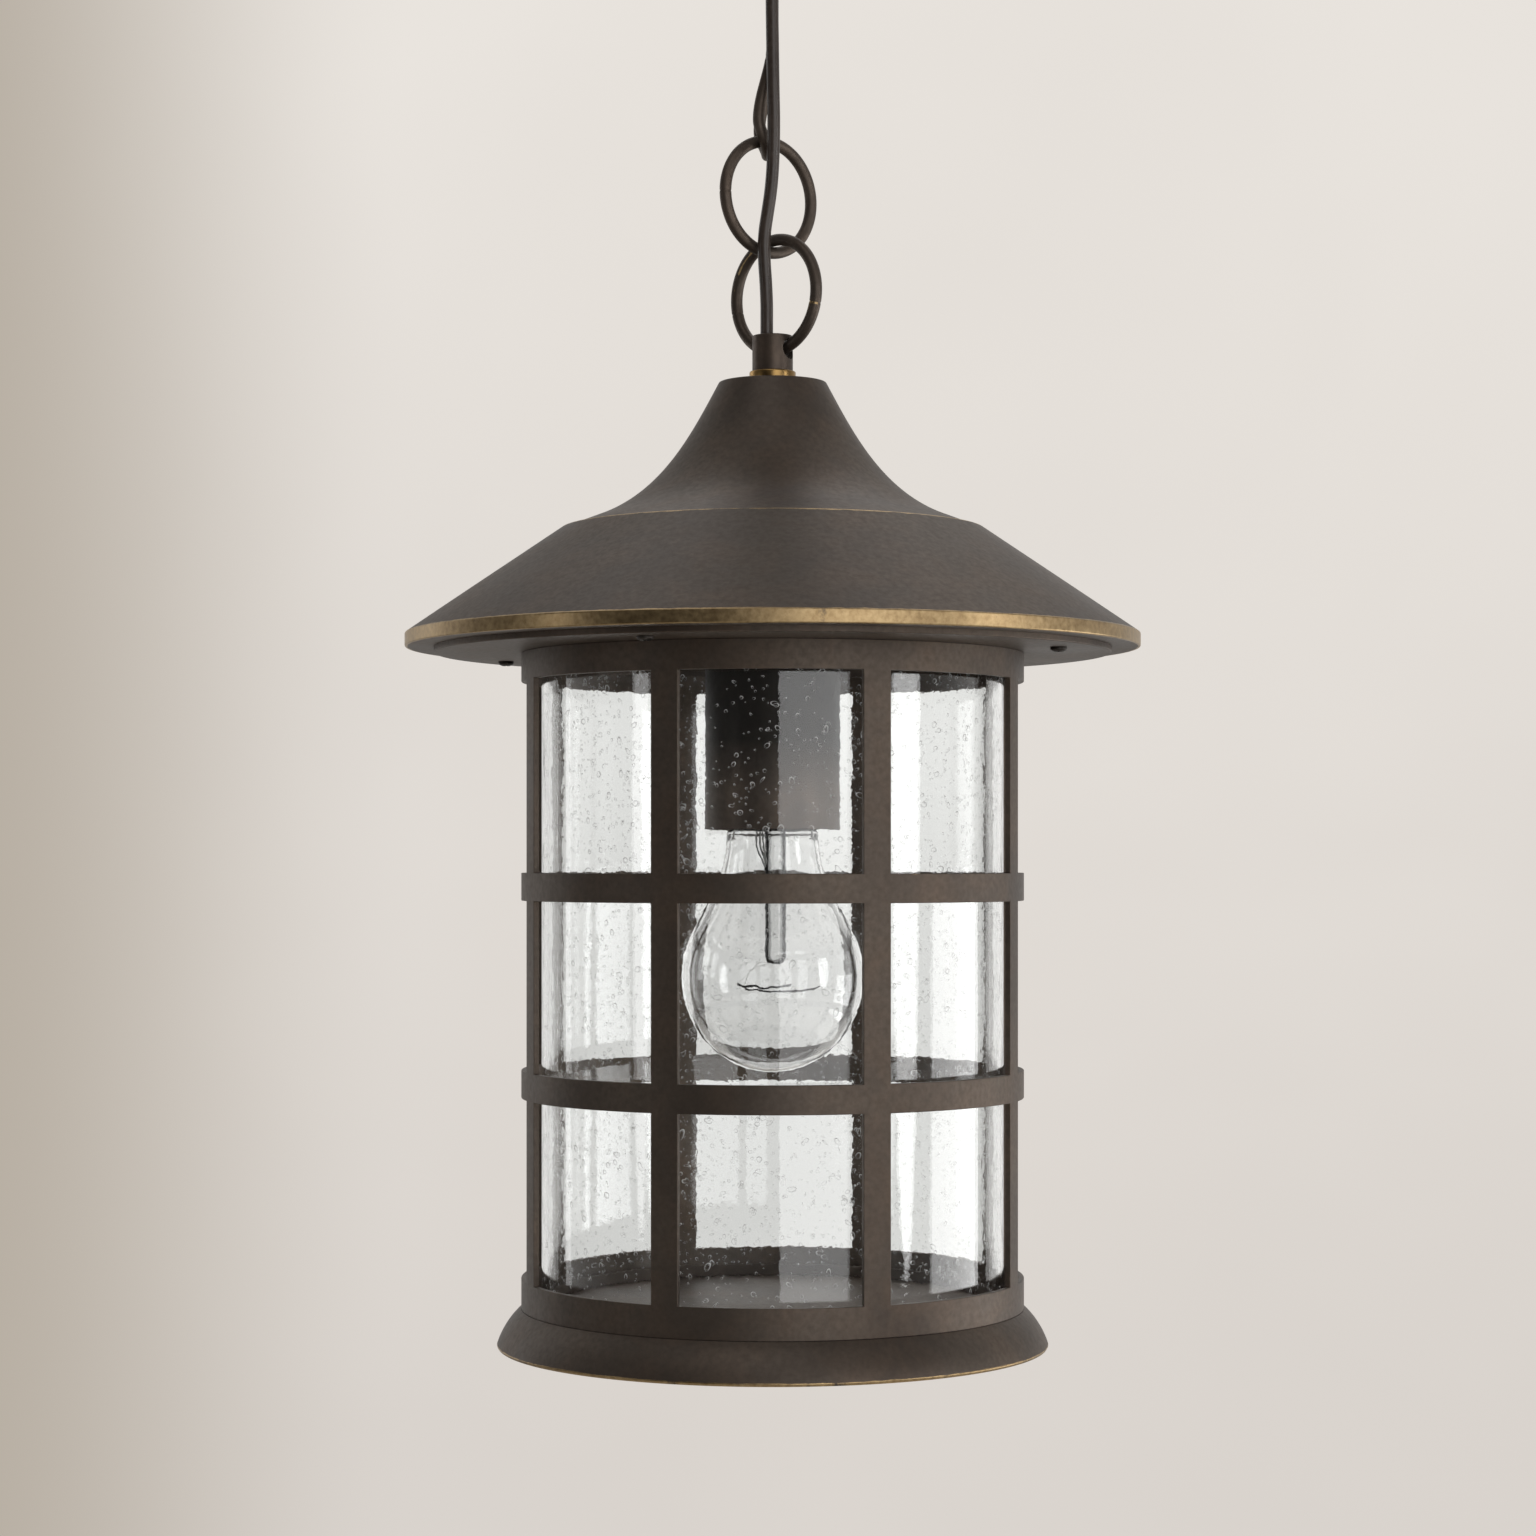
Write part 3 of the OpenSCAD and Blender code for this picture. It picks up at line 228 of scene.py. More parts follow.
# Materials
def bronze_finish(name, painted_shade_span=None):
    """Dark bronze paint, cloudy and finely grained, rubbed through to gold where wear is set, and darkened
    almost black by painted shade between two heights in metres where those are given."""
    made, g = material(name)
    cloud = g.noise(14.0, 5.0, 0.58, 0.35)
    patch = g.noise(46.0, 4.0, 0.6, 0.6)
    grain = g.noise(520.0, 3.0, 0.55)
    speck = g.noise(1900.0, 2.0, 0.5)
    tone = g.mix(g.spread(cloud, 0.34, 0.66), srgb(76, 67, 60), srgb(97, 87, 78))
    tone = g.mix(g.spread(patch, 0.42, 0.72, 0.0, 0.55), tone, srgb(102, 86, 73))
    tone = g.mix(g.spread(grain, 0.35, 0.7, 0.0, 0.35), tone, srgb(64, 55, 49))
    wear = g.node("Attribute", attribute_name="wear").outputs["Fac"]
    ragged = g.maths("MULTIPLY", g.noise(24.0, 3.0, 0.6), 0.5)
    ragged = g.maths("ADD", g.noise(160.0, 4.0, 0.65), ragged)
    worn = g.spread(g.maths("SUBTRACT", g.maths("ADD", wear, ragged), 1.42), 0.0, 0.16)
    gold = g.mix(g.spread(grain, 0.3, 0.7), srgb(142, 119, 86), srgb(176, 152, 114))
    tone = g.mix(worn, tone, gold)
    if painted_shade_span:
        # Painted shade: the colour ramps towards almost black from the first height to the second.
        height = g.node("SeparateXYZ", {0: g.place}).outputs[2]
        tone = g.mix(g.spread(height, painted_shade_span[0], painted_shade_span[1], 0.0, 0.9), tone, srgb(20, 18, 15))
    rough = g.spread(g.maths("ADD", cloud, g.maths("MULTIPLY", grain, 0.5)), 0.55, 1.0, 0.44, 0.58)
    rough = g.maths("SUBTRACT", rough, g.maths("MULTIPLY", worn, 0.12))
    fine = g.maths("ADD", grain, g.maths("MULTIPLY", speck, 0.4))
    height = g.maths("ADD", g.maths("MULTIPLY", patch, 2.0), fine)
    normal = g.bump(height, 0.00006, 0.55)
    metal = g.spread(worn, 0.0, 1.0, 0.72, 1.0)
    shader = g.node("BsdfPrincipled", {
        "Base Color": tone, "Metallic": metal, "Roughness": rough, "Normal": normal})
    finish_material(g, shader.outputs[0])
    return made


METAL_GRAIN = {"twist": 0.2, "broad": (30.0, 3.0, 0.5), "smoother": 0.06, "rougher": 0.1, "bump": 0.5}
PAINT_GRAIN = {"twist": 0.0, "broad": (40.0, 3.0, 0.5, 0.3), "smoother": 0.08, "rougher": 0.08, "bump": 0.6}


def plain_finish(name, first, second, roughness, scale, grain, metallic=0.0, depth=0.00004, coat=0.0):
    """A finish that wanders between two colours, with a fine grain."""
    made, g = material(name)
    fine = g.noise(scale, 4.0, 0.6, grain["twist"])
    tone = g.mix(g.spread(g.maths("ADD", fine, g.noise(*grain["broad"])), 0.75, 1.25), first, second)
    rough = g.spread(fine, 0.3, 0.7, roughness - grain["smoother"], roughness + grain["rougher"])
    shader = g.node("BsdfPrincipled", {
        "Base Color": tone, "Metallic": metallic, "Roughness": rough, "Coat Weight": coat,
        "Normal": g.bump(fine, depth, grain["bump"])})
    finish_material(g, shader.outputs[0])
    return made


def plain_metal(name, first, second, roughness=0.34, scale=260.0, metallic=1.0):
    return plain_finish(name, first, second, roughness, scale, METAL_GRAIN, metallic, 0.00003)


def plain_paint(name, first, second, roughness, scale, depth=0.00004, coat=0.0):
    return plain_finish(name, first, second, roughness, scale, PAINT_GRAIN, 0.0, depth, coat)


def clear_glass(name, tint, waves, wave_scale, shade):
    """Clear, slightly wavy glass that lets the lamps' light through to what stands inside it."""
    made, g = material(name)
    slow = g.noise(wave_scale * 0.42, 2.0, 0.5, 0.2)
    quick = g.noise(wave_scale, 2.0, 0.5, 0.3)
    solid = g.node("BsdfPrincipled", {
        "Base Color": tint, "Roughness": 0.0, "IOR": 1.5, "Transmission Weight": 1.0,
        "Normal": g.bump(g.maths("ADD", slow, g.maths("MULTIPLY", quick, 0.45)), waves)})
    through = g.node("BsdfTransparent", {"Color": (shade, shade, shade, 1)})
    lit = g.node("MixShader", {
        0: g.node("LightPath").outputs["Is Shadow Ray"], 1: solid.outputs[0], 2: through.outputs[0]})
    finish_material(g, lit.outputs[0])
    return made


def seed_finish(name):
    """An air bubble: clear in the middle, its rim scattering light where the wear value says so."""
    made, g = material(name)
    wear = g.node("Attribute", attribute_name="wear").outputs["Fac"]
    clear = g.node("BsdfTransparent", {"Color": (0.98, 0.98, 0.98, 1)})
    gleam = g.node("BsdfPrincipled", {"Base Color": srgb(255, 255, 252), "Metallic": 1.0, "Roughness": 0.35})
    behind = g.node("BsdfTranslucent", {"Color": (1, 1, 1, 1)})
    pale = g.node("MixShader", {0: 0.55, 1: gleam.outputs[0], 2: behind.outputs[0]})
    shader = g.node("MixShader", {0: wear, 1: clear.outputs[0], 2: pale.outputs[0]})
    finish_material(g, shader.outputs[0])
    return made


def rod_glass(name):
    """A solid glass stem, clear along its middle and darkened along both sides by painted shade that stands
    in for refraction.
    """
    made, g = material(name)
    facing = g.node("LayerWeight", {"Blend": 0.5}).outputs["Facing"]
    # Painted shade: the stem lets less through where it is seen edge-on, in place of the dark sides that
    # refraction gives.
    tone = g.mix(g.spread(facing, 0.07, 0.15), srgb(251, 251, 251), srgb(214, 214, 214))
    clear = g.node("BsdfTransparent", {"Color": tone})
    gloss = g.node("BsdfGlossy", {"Roughness": 0.08})
    edge = g.node("Fresnel", {"IOR": 1.45}).outputs[0]
    shader = g.node("MixShader", {0: edge, 1: clear.outputs[0], 2: gloss.outputs[0]})
    finish_material(g, shader.outputs[0])
    return made


bronze = bronze_finish("bronze")
# The holder cup's bronze, with painted shade that darkens its upper part towards the top.
bronze_with_painted_top_shade = bronze_finish("bronze_with_painted_top_shade", (-0.338, -0.318))
brass = plain_metal("brass", srgb(178, 142, 84), srgb(206, 172, 112), 0.3)
worn_brass = plain_metal("worn_brass", srgb(92, 74, 50), srgb(196, 158, 98), 0.3, 90.0)
steel = plain_metal("steel", srgb(150, 150, 148), srgb(178, 178, 175), 0.36)
cap_metal = plain_metal("cap_metal", srgb(176, 174, 168), srgb(200, 198, 192), 0.28, 500.0)
tungsten = plain_metal("tungsten", srgb(36, 35, 34), srgb(58, 56, 55), 0.45, 1500.0)
copper = plain_metal("copper", srgb(180, 108, 70), srgb(206, 136, 96), 0.32, 700.0)
black_screw = plain_metal("black_screw", srgb(44, 40, 37), srgb(64, 59, 55), 0.42, 500.0, 0.8)
green_screw = plain_paint("green_screw", srgb(40, 104, 58), srgb(56, 124, 70), 0.3, 300.0, 0.00003, 0.5)
rubber = plain_paint("rubber", srgb(56, 47, 40), srgb(72, 62, 54), 0.72, 500.0)
jacket = plain_paint("jacket", srgb(52, 43, 37), srgb(66, 56, 49), 0.36, 420.0, 0.00004)
porcelain = plain_paint("porcelain", srgb(226, 222, 212), srgb(238, 234, 226), 0.5, 220.0)
black_glass = plain_paint("black_glass", srgb(20, 18, 24), srgb(34, 30, 40), 0.16, 100.0, 0.00002, 0.6)
seeded_glass = clear_glass("seeded_glass", srgb(253, 254, 254), 0.00003, 330.0, 0.9)
seed_rim = seed_finish("seed_rim")
stem_glass = rod_glass("stem_glass")
bulb_glass = clear_glass("bulb_glass", srgb(252, 252, 252), 0.00002, 60.0, 0.97)


# Mesh helpers
SHARP = math.radians(38)
WEAR_REACH = 1.4


def add_mesh(name, points, faces, made, body, stands_for=(), wear=None, sharp=SHARP):
    """A piece from points in millimetres, riding on a body and standing for CAD nodes."""
    mesh = bpy.data.meshes.new(name)
    mesh.from_pydata([(x * MM, y * MM, z * MM) for x, y, z in points], [], faces)
    if wear is not None:
        values = mesh.attributes.new("wear", "FLOAT", "POINT")
        values.data.foreach_set("value", wear)
    mesh.materials.append(made)
    mesh.update()
    piece = bpy.data.objects.new(name, mesh)
    bpy.context.collection.objects.link(piece)
    mesh.polygons.foreach_set("use_smooth", [True] * len(mesh.polygons))
    mesh.set_sharp_from_angle(angle=sharp)
    if body:
        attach(piece, body)
    if stands_for:
        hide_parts(*stands_for)
    return piece


def rounded_outline(corners, steps=5):
    """A closed outline in (radius, height) with rounded corners. A corner is (r, z), (r, z, fillet) or
    (r, z, fillet, wear); wear fades to nothing over WEAR_REACH beside the corner."""
    def worn(corner):
        return corner[3] if len(corner) > 3 else 0.0

    outline = []
    count = len(corners)
    for i, corner in enumerate(corners):
        r, z, fillet, wear = (list(corner) + [0.0, 0.0])[:4]
        before, after = corners[i - 1], corners[(i + 1) % count]
        here = Vector((r, z))
        to_before = Vector(before[:2]) - here
        to_after = Vector(after[:2]) - here
        if fillet <= 0 or to_before.length < 1e-6 or to_after.length < 1e-6:
            outline.append((r, z, wear))
            continue
        angle = to_before.angle(to_after)
        cut = min(fillet / math.tan(angle / 2), 0.45 * to_before.length, 0.45 * to_after.length)
        start = here + to_before.normalized() * cut
        end = here + to_after.normalized() * cut
        if wear > 0 and worn(before) == 0 and to_before.length > cut + 2.2 * WEAR_REACH:
            p = here + to_before.normalized() * (cut + WEAR_REACH)
            outline.append((p.x, p.y, 0.0))
        for k in range(steps + 1):
            t = k / steps
            p = start * (1 - t) ** 2 + here * (2 * t * (1 - t)) + end * t ** 2
            outline.append((p.x, p.y, wear))
        if wear > 0 and worn(after) == 0 and to_after.length > cut + 2.2 * WEAR_REACH:
            p = here + to_after.normalized() * (cut + WEAR_REACH)
            outline.append((p.x, p.y, 0.0))
    return outline


def lathe(name, outline, made, body, stands_for=(), steps=192, sharp=SHARP):
    """Turns an outline of (r, z, wear) round the upright axis. A point with r = 0 becomes a pole."""
    points, wear, faces, rows = [], [], [], []
    for entry in outline:
        r, z, w = (list(entry) + [0.0])[:3]
        if r < 1e-6:
            rows.append([len(points)])
            points.append((0, 0, z))
            wear.append(w)
        else:
            rows.append(list(range(len(points), len(points) + steps)))
            for k in range(steps):
                a = TURN * k / steps
                points.append((r * math.sin(a), -r * math.cos(a), z))
                wear.append(w)
    for low, high in zip(rows, rows[1:] + rows[:1]):
        if len(low) == 1 and len(high) == 1:
            continue
        for k in range(steps):
            n = (k + 1) % steps
            if len(low) == 1:
                faces.append((low[0], high[n], high[k]))
            elif len(high) == 1:
                faces.append((low[k], low[n], high[0]))
            else:
                faces.append((low[k], low[n], high[n], high[k]))
    piece = add_mesh(name, points, faces, made, body, stands_for, wear, sharp)
    set_outward(piece)
    return piece


def set_outward(piece):
    """Turns a closed mesh's faces so that they look outwards."""
    mesh = piece.data
    volume = 0.0
    for face in mesh.polygons:
        at = [mesh.vertices[v].co for v in face.vertices]
        for k in range(1, len(at) - 1):
            volume += at[0].dot(at[k].cross(at[k + 1]))
    if volume < 0:
        mesh.flip_normals()


def bezier(p0, p1, p2, p3, steps):
    curve = []
    for k in range(steps + 1):
        t = k / steps
        a, b, c, d = (1 - t) ** 3, 3 * t * (1 - t) ** 2, 3 * t * t * (1 - t), t ** 3
        curve.append((a * p0[0] + b * p1[0] + c * p2[0] + d * p3[0],
                      a * p0[1] + b * p1[1] + c * p2[1] + d * p3[1]))
    return curve


def turns_of(steps):
    """Equal steps round a full turn, in radians."""
    return [TURN * k / steps for k in range(steps)]


def sharp_corners(curve):
    """The points of a curve as corners of an outline that aren't rounded."""
    return [(r, z, 0) for r, z in curve]


def offset_curve(curve, wall):
    """A curve moved sideways by the wall, to the right of its own direction."""
    moved = []
    for k, (r, z) in enumerate(curve):
        a = curve[max(k - 1, 0)]
        b = curve[min(k + 1, len(curve) - 1)]
        dr, dz = b[0] - a[0], b[1] - a[1]
        length = math.hypot(dr, dz)
        moved.append((r + wall * dz / length, z - wall * dr / length))
    return moved


def tube(name, line, radius, made, body, stands_for=(), sides=20, closed=False, wear_at=None,
         radius_at=None):
    """A round wire along points in millimetres, with its frame carried along without twist."""
    line = [Vector(p) for p in line]
    count = len(line)
    ways = []
    for k in range(count):
        a = line[k - 1] if k or closed else line[0]
        b = line[(k + 1) % count] if k < count - 1 or closed else line[-1]
        ways.append((b - a).normalized())
    side = ways[0].orthogonal().normalized()
    sides_at = [side]
    for k in range(1, count):
        side = side - ways[k] * side.dot(ways[k])
        side.normalize()
        sides_at.append(side)
    if closed:
        last = side - ways[0] * side.dot(ways[0])
        last.normalize()
        gap = last.angle(sides_at[0])
        if last.cross(sides_at[0]).dot(ways[0]) < 0:
            gap = -gap
        for k in range(count):
            sides_at[k] = Matrix.Rotation(gap * k / count, 3, ways[k]) @ sides_at[k]
    points, wear, faces = [], [], []
    for k in range(count):
        up = ways[k].cross(sides_at[k])
        r = radius_at(k) if radius_at else radius
        for j in range(sides):
            a = TURN * j / sides
            out = sides_at[k] * math.cos(a) + up * math.sin(a)
            points.append(tuple(line[k] + out * r))
            wear.append(wear_at(line[k], out) if wear_at else 0.0)
    for k in range(count if closed else count - 1):
        n = (k + 1) % count
        for j in range(sides):
            m = (j + 1) % sides
            faces.append((k * sides + j, k * sides + m, n * sides + m, n * sides + j))
    if not closed:
        for k, flip in ((0, True), (count - 1, False)):
            way = ways[k] * (-1 if flip else 1)
            points.append(tuple(line[k] + way * radius * 0.12))
            wear.append(0.0)
            centre = len(points) - 1
            for j in range(sides):
                a, b = k * sides + j, k * sides + (j + 1) % sides
                faces.append((b, a, centre) if flip else (a, b, centre))
    piece = add_mesh(name, points, faces, made, body, stands_for, wear)
    set_outward(piece)
    return piece


def smooth_line(knots, step):
    """A smooth curve through the knots, with points about a step apart."""
    knots = [Vector(k) for k in knots]
    line = []
    for i in range(len(knots) - 1):
        p0 = knots[max(i - 1, 0)]
        p1, p2 = knots[i], knots[i + 1]
        p3 = knots[min(i + 2, len(knots) - 1)]
        parts = max(1, round((p2 - p1).length / step))
        for k in range(parts):
            t = k / parts
            line.append(0.5 * ((2 * p1) + (p2 - p0) * t + (2 * p0 - 5 * p1 + 4 * p2 - p3) * t ** 2
                               + (3 * p1 - p0 - 3 * p2 + p3) * t ** 3))
    line.append(knots[-1])
    return line


def merged(name, pieces):
    """Joins several new pieces of one body and slot into one."""
    keep = pieces[0]
    mesh = bmesh.new()
    for piece in pieces:
        mesh.from_mesh(piece.data)
    for piece in pieces[1:]:
        bpy.data.objects.remove(piece)
    mesh.to_mesh(keep.data)
    mesh.free()
    keep.name = name
    return keep


def smooth_step(t):
    t = min(max(t, 0.0), 1.0)
    return t * t * (3 - 2 * t)


# Supply cord
CORD_R = 2.2
CORD_ROUTE = [
    (0, -15, -15), (0, -15, -23), (0, -15, -35), (-0.2, -15, -50), (-0.1, -14.8, -65), (0.1, -14.6, -80),
    (0.3, -14.5, -94), (0.5, -13.6, -105), (0.4, -12.2, -114), (0, -10.5, -123), (-0.7, -9.2, -130),
    (-1.7, -8.2, -136.5), (-2.6, -7.5, -142.5), (-2.9, -7.2, -148), (-2.7, -6.7, -154), (-2.3, -5.7, -160),
    (-2, -4.2, -167), (-2, -2.7, -173), (-2, -2.1, -178), (-2, -2.1, -182), (-1.8, -1.9, -184.5),
    (-1.3, -1.4, -186.5), (-0.9, -1, -188.3), (-0.8, -0.9, -190), (-0.8, -0.9, -191.5)]
CORD_CUTS = [-85.0, -126.0, -159.0]
CORD_BODIES = [("canopy", "link", -45, -70), ("link", "ring_upper", -106, -123),
               ("ring_upper", "ring_lower", -141, -156), ("ring_lower", "lantern", -166, -176)]


def add_cord():
    """The cord in four lengths, cut at set heights along its route."""
    line = smooth_line(CORD_ROUTE, 1.6)
    limits = [1.0] + CORD_CUTS + [-999.0]
    for i, (first, second, start, end) in enumerate(CORD_BODIES):
        inside = [k for k, p in enumerate(line) if limits[i] >= p.z > limits[i + 1]]
        part = line[max(inside[0] - 1, 0):inside[-1] + 1] if i else line[inside[0]:inside[-1] + 1]
        piece = tube("cord_%d" % (i + 1), part, CORD_R, jacket, None, ("supply_cord",), 24)
        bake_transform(piece)


add_cord()


# Chain, hub and canopy
RING_R, WIRE_R, LOOP_WIRE_R = 19.2, 2.05, 2.5
LINK_TOP_Z, LINK_FOOT_Z, LINK_HALF_W = -52.05, -114.65, 9.5
LOOP_Z, LOOP_R = -44.5, 12.5
UPPER_TURN, LOWER_TURN = math.radians(40), math.radians(-43.7)
UPPER_CENTRE, LOWER_CENTRE = (-1.4, 0.6, -129.35), (1.1745, 1.2290, -163.25)
RING_STEPS, RING_SIDES, CUT_DEPTH = 240, 24, 0.93


def ring_line(centre, turn):
    side, up = Vector((math.cos(turn), math.sin(turn), 0)), Vector((0, 0, 1))
    return [Vector(centre) + (side * math.cos(a) + up * math.sin(a)) * RING_R for a in turns_of(RING_STEPS)]


def turn_between(a, b):
    """How far two angles lie apart, in degrees."""
    return abs((a - b + 180) % 360 - 180)


def ring_marks(centre, turn, streaks, joints):
    """Where a ring is rubbed, in degrees round it: streaks are (from, to, amount), joints (at, amount)."""
    side = Vector((math.cos(turn), math.sin(turn), 0))
    front = side.cross(Vector((0, 0, 1)))
    if front.y > 0:
        front = -front

    def wear(point, out):
        way = (point - Vector(centre)).normalized()
        a = math.degrees(math.atan2(way.z, way.dot(side)))
        facing, outer = out.dot(front), out.dot(way)
        amount = 0.0
        for low, high, strength in streaks:
            along = smooth_step((a - low) / 9) * smooth_step((high - a) / 9)
            across = math.exp(-((outer + 0.25) / 0.34) ** 2) if facing > 0.1 else 0.0
            amount = max(amount, strength * along * across)
        for joint, strength in joints:
            if turn_between(a, joint) < 1.6 and facing > 0.2:
                amount = max(amount, strength)
        return amount

    def radius(k):
        nearest = min(turn_between(360 * k / RING_STEPS, joint) for joint, _ in joints)
        return WIRE_R * (CUT_DEPTH if nearest < 0.8 else 1.0)

    return wear, radius


def add_rings():
    lower_streaks = [(112, 158, 1.02), (158, 178, 0.72), (-62, -3, 0.86), (3, 24, 0.66), (44, 60, 0.68)]
    for place, centre, turn, streaks, joints in (
            ("upper", UPPER_CENTRE, UPPER_TURN, [(-60, -20, 0.42)], [(180, 0.62)]),
            ("lower", LOWER_CENTRE, LOWER_TURN, lower_streaks, [(-14, 1.0), (-166, 0.5)])):
        wear, radius = ring_marks(centre, turn, streaks, joints)
        tube(place + "_ring_wire", ring_line(centre, turn), WIRE_R, bronze, "ring_" + place,
             (place + "_ring",), RING_SIDES, True, wear, radius)


def link_sway(z):
    foot_x, bow = -1.9, 2.8
    bow_z, straight_z = LINK_FOOT_Z + 10, LINK_FOOT_Z + 36
    if z < bow_z:
        return foot_x - bow * smooth_step((z - LINK_FOOT_Z) / 10)
    return (foot_x - bow) * (1 - smooth_step((z - bow_z) / (straight_z - bow_z)))


def add_link():
    side_l = LINK_TOP_Z - LINK_FOOT_Z - 2 * LINK_HALF_W
    spots = [(-LINK_HALF_W, LINK_FOOT_Z + LINK_HALF_W + side_l * k / 40) for k in range(40)]
    spots += [(-LINK_HALF_W * math.cos(math.pi * k / 32), LINK_TOP_Z - LINK_HALF_W
               + LINK_HALF_W * math.sin(math.pi * k / 32)) for k in range(32)]
    spots += [(LINK_HALF_W, LINK_TOP_Z - LINK_HALF_W - side_l * k / 40) for k in range(40)]
    spots += [(LINK_HALF_W * math.cos(math.pi * k / 32), LINK_FOOT_Z + LINK_HALF_W
               - LINK_HALF_W * math.sin(math.pi * k / 32)) for k in range(32)]
    line = [(link_sway(z), y, z) for y, z in spots]
    tube("long_link_wire", line, WIRE_R, bronze, "link", ("long_link",), 24, True,
         radius_at=lambda k: WIRE_R * (CUT_DEPTH if k == 20 else 1.0))


def cut(piece, cutter):
    """Takes one closed mesh out of another and drops the cutter."""
    knife = piece.modifiers.new("cut", "BOOLEAN")
    knife.operation, knife.solver, knife.object = "DIFFERENCE", "EXACT", cutter
    apply_modifiers(piece)
    bpy.data.objects.remove(cutter)


def apply_modifiers(piece):
    graph = bpy.context.evaluated_depsgraph_get()
    made = bpy.data.meshes.new_from_object(piece.evaluated_get(graph), depsgraph=graph)
    piece.modifiers.clear()
    old = piece.data
    piece.data = made
    bpy.data.meshes.remove(old)


def cutter_mesh(name, points, faces):
    mesh = bpy.data.meshes.new(name)
    mesh.from_pydata([tuple(Vector(p) * MM) for p in points], [], faces)
    made = bpy.data.objects.new(name, mesh)
    bpy.context.collection.objects.link(made)
    return made


def rod_cutter(name, a, b, radius, sides=48):
    """A plain rod between two points, to cut a round hole with."""
    a, b = Vector(a), Vector(b)
    way = (b - a).normalized()
    side = way.orthogonal().normalized()
    up = way.cross(side)
    points = [end + (side * math.cos(t) + up * math.sin(t)) * radius
              for end in (a, b) for t in turns_of(sides)]
    faces = [(j, (j + 1) % sides, sides + (j + 1) % sides, sides + j) for j in range(sides)]
    faces += [tuple(reversed(range(sides))), tuple(range(sides, 2 * sides))]
    return cutter_mesh(name, points, faces)


def add_hub():
    base, foot, top, radius = node_foot("hub"), node_top("seat_ring"), node_top("hub"), node_radius("hub")
    tenon_r, seat_in_r, hole_r, hole_drop = 6.2, 6.3, 3.6, 4.9
    outline = rounded_outline([
        (STEM_HOLE_R, base, 0), (tenon_r, base, 0), (tenon_r, foot, 0), (radius, foot, 0.25),
        (radius, top, 0.6, 0.35), (STEM_HOLE_R, top, 0.3)], 4)
    hub = lathe("hub_body", outline, bronze, "lantern", ("hub",), 96)
    middle = Vector((LOWER_CENTRE[0], LOWER_CENTRE[1], top - hole_drop))
    across = Vector((math.cos(LOWER_TURN), math.sin(LOWER_TURN), 0))
    cut(hub, rod_cutter("hub_hole", middle - across * 15, middle + across * 15, hole_r))
    shade(hub)
    seat_r = node_radius("seat_ring")
    outline = rounded_outline([
        (seat_in_r, base, 0), (seat_r, base, 0.5, 0.4), (seat_r, foot, 0.5, 0.4), (seat_in_r, foot, 0)], 4)
    lathe("seat_ring_body", outline, worn_brass, "lantern", ("seat_ring",), 96)


def shade(piece, angle=math.radians(35), weighted=True):
    mesh = piece.data
    mesh.polygons.foreach_set("use_smooth", [True] * len(mesh.polygons))
    mesh.set_sharp_from_angle(angle=angle)
    if weighted:
        normals = piece.modifiers.new("normals", "WEIGHTED_NORMAL")
        normals.keep_sharp = True


def add_canopy():
    edge_r, flat_r, hole_r, rim_h, depth, wall, bulge = 60, 26.0, STEM_HOLE_R, 3.0, 23.0, 1.2, 4
    cord_y, cord_hole_r, collar_r, groove_r, collar_foot, bore_foot = -15, 3.8, 9, 8.6, -33, -31.1
    outer = arc_between((flat_r, -depth), (edge_r, -rim_h), -bulge, 28)
    inner = arc_between((edge_r - wall, -rim_h), (flat_r, wall - depth), bulge - 0.2 * wall, 28)
    outline = [(hole_r, -depth, 0)]
    outline += rounded_outline([(hole_r, -depth), (flat_r, -depth, 0.8), outer[1]], 4)[1:-1]
    outline += sharp_corners(outer[1:])
    outline += [(edge_r, -0.9, 0.3), (edge_r - 0.15, -0.25, 0.9), (edge_r - 0.5, 0, 0.9),
                (edge_r - wall, 0, 0)]
    outline += sharp_corners(inner) + [(hole_r, wall - depth, 0)]
    dish = lathe("canopy_shell", outline, bronze, "canopy", ("canopy_dish",), 160)
    cut(dish, rod_cutter("cord_hole", (0, cord_y, -26), (0, cord_y, -18), cord_hole_r))
    shade(dish)
    collar = lathe("canopy_collar", rounded_outline([
        (hole_r, -depth, 0), (collar_r, -depth, 0.3), (collar_r, -27.2, 0.2), (groove_r, -27.6, 0.2),
        (groove_r, -28.4, 0.2), (collar_r, -28.8, 0.2), (collar_r, collar_foot, 1.2, 0.5),
        (0, collar_foot, 0), (0, bore_foot, 0), (hole_r, bore_foot, 0)], 4),
        bronze, "canopy", (), 96)
    line = [(LOOP_R * math.cos(a), 0, LOOP_Z + LOOP_R * math.sin(a)) for a in turns_of(200)]
    loop = tube("canopy_loop_wire", line, LOOP_WIRE_R, bronze, "canopy", (), 24, True)
    joined = merged("canopy_loop_body", [collar, loop])
    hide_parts("canopy_loop")
    shade(joined)
    bush = rounded_outline([
        (2.3, -28, 0), (3.3, -28, 0.4), (5.2, -24.4, 0.4), (5.2, -23, 0.1), (3.7, -23, 0),
        (3.7, -21.6, 0), (4.6, -21.6, 0.2), (4.6, -20.2, 0.3), (2.3, -20.2, 0.2)], 4)
    piece = lathe("cord_bushing", bush, rubber, "canopy", ("canopy_bushing",), 64)
    piece.data.transform(Matrix.Translation((0, cord_y * MM, 0)))


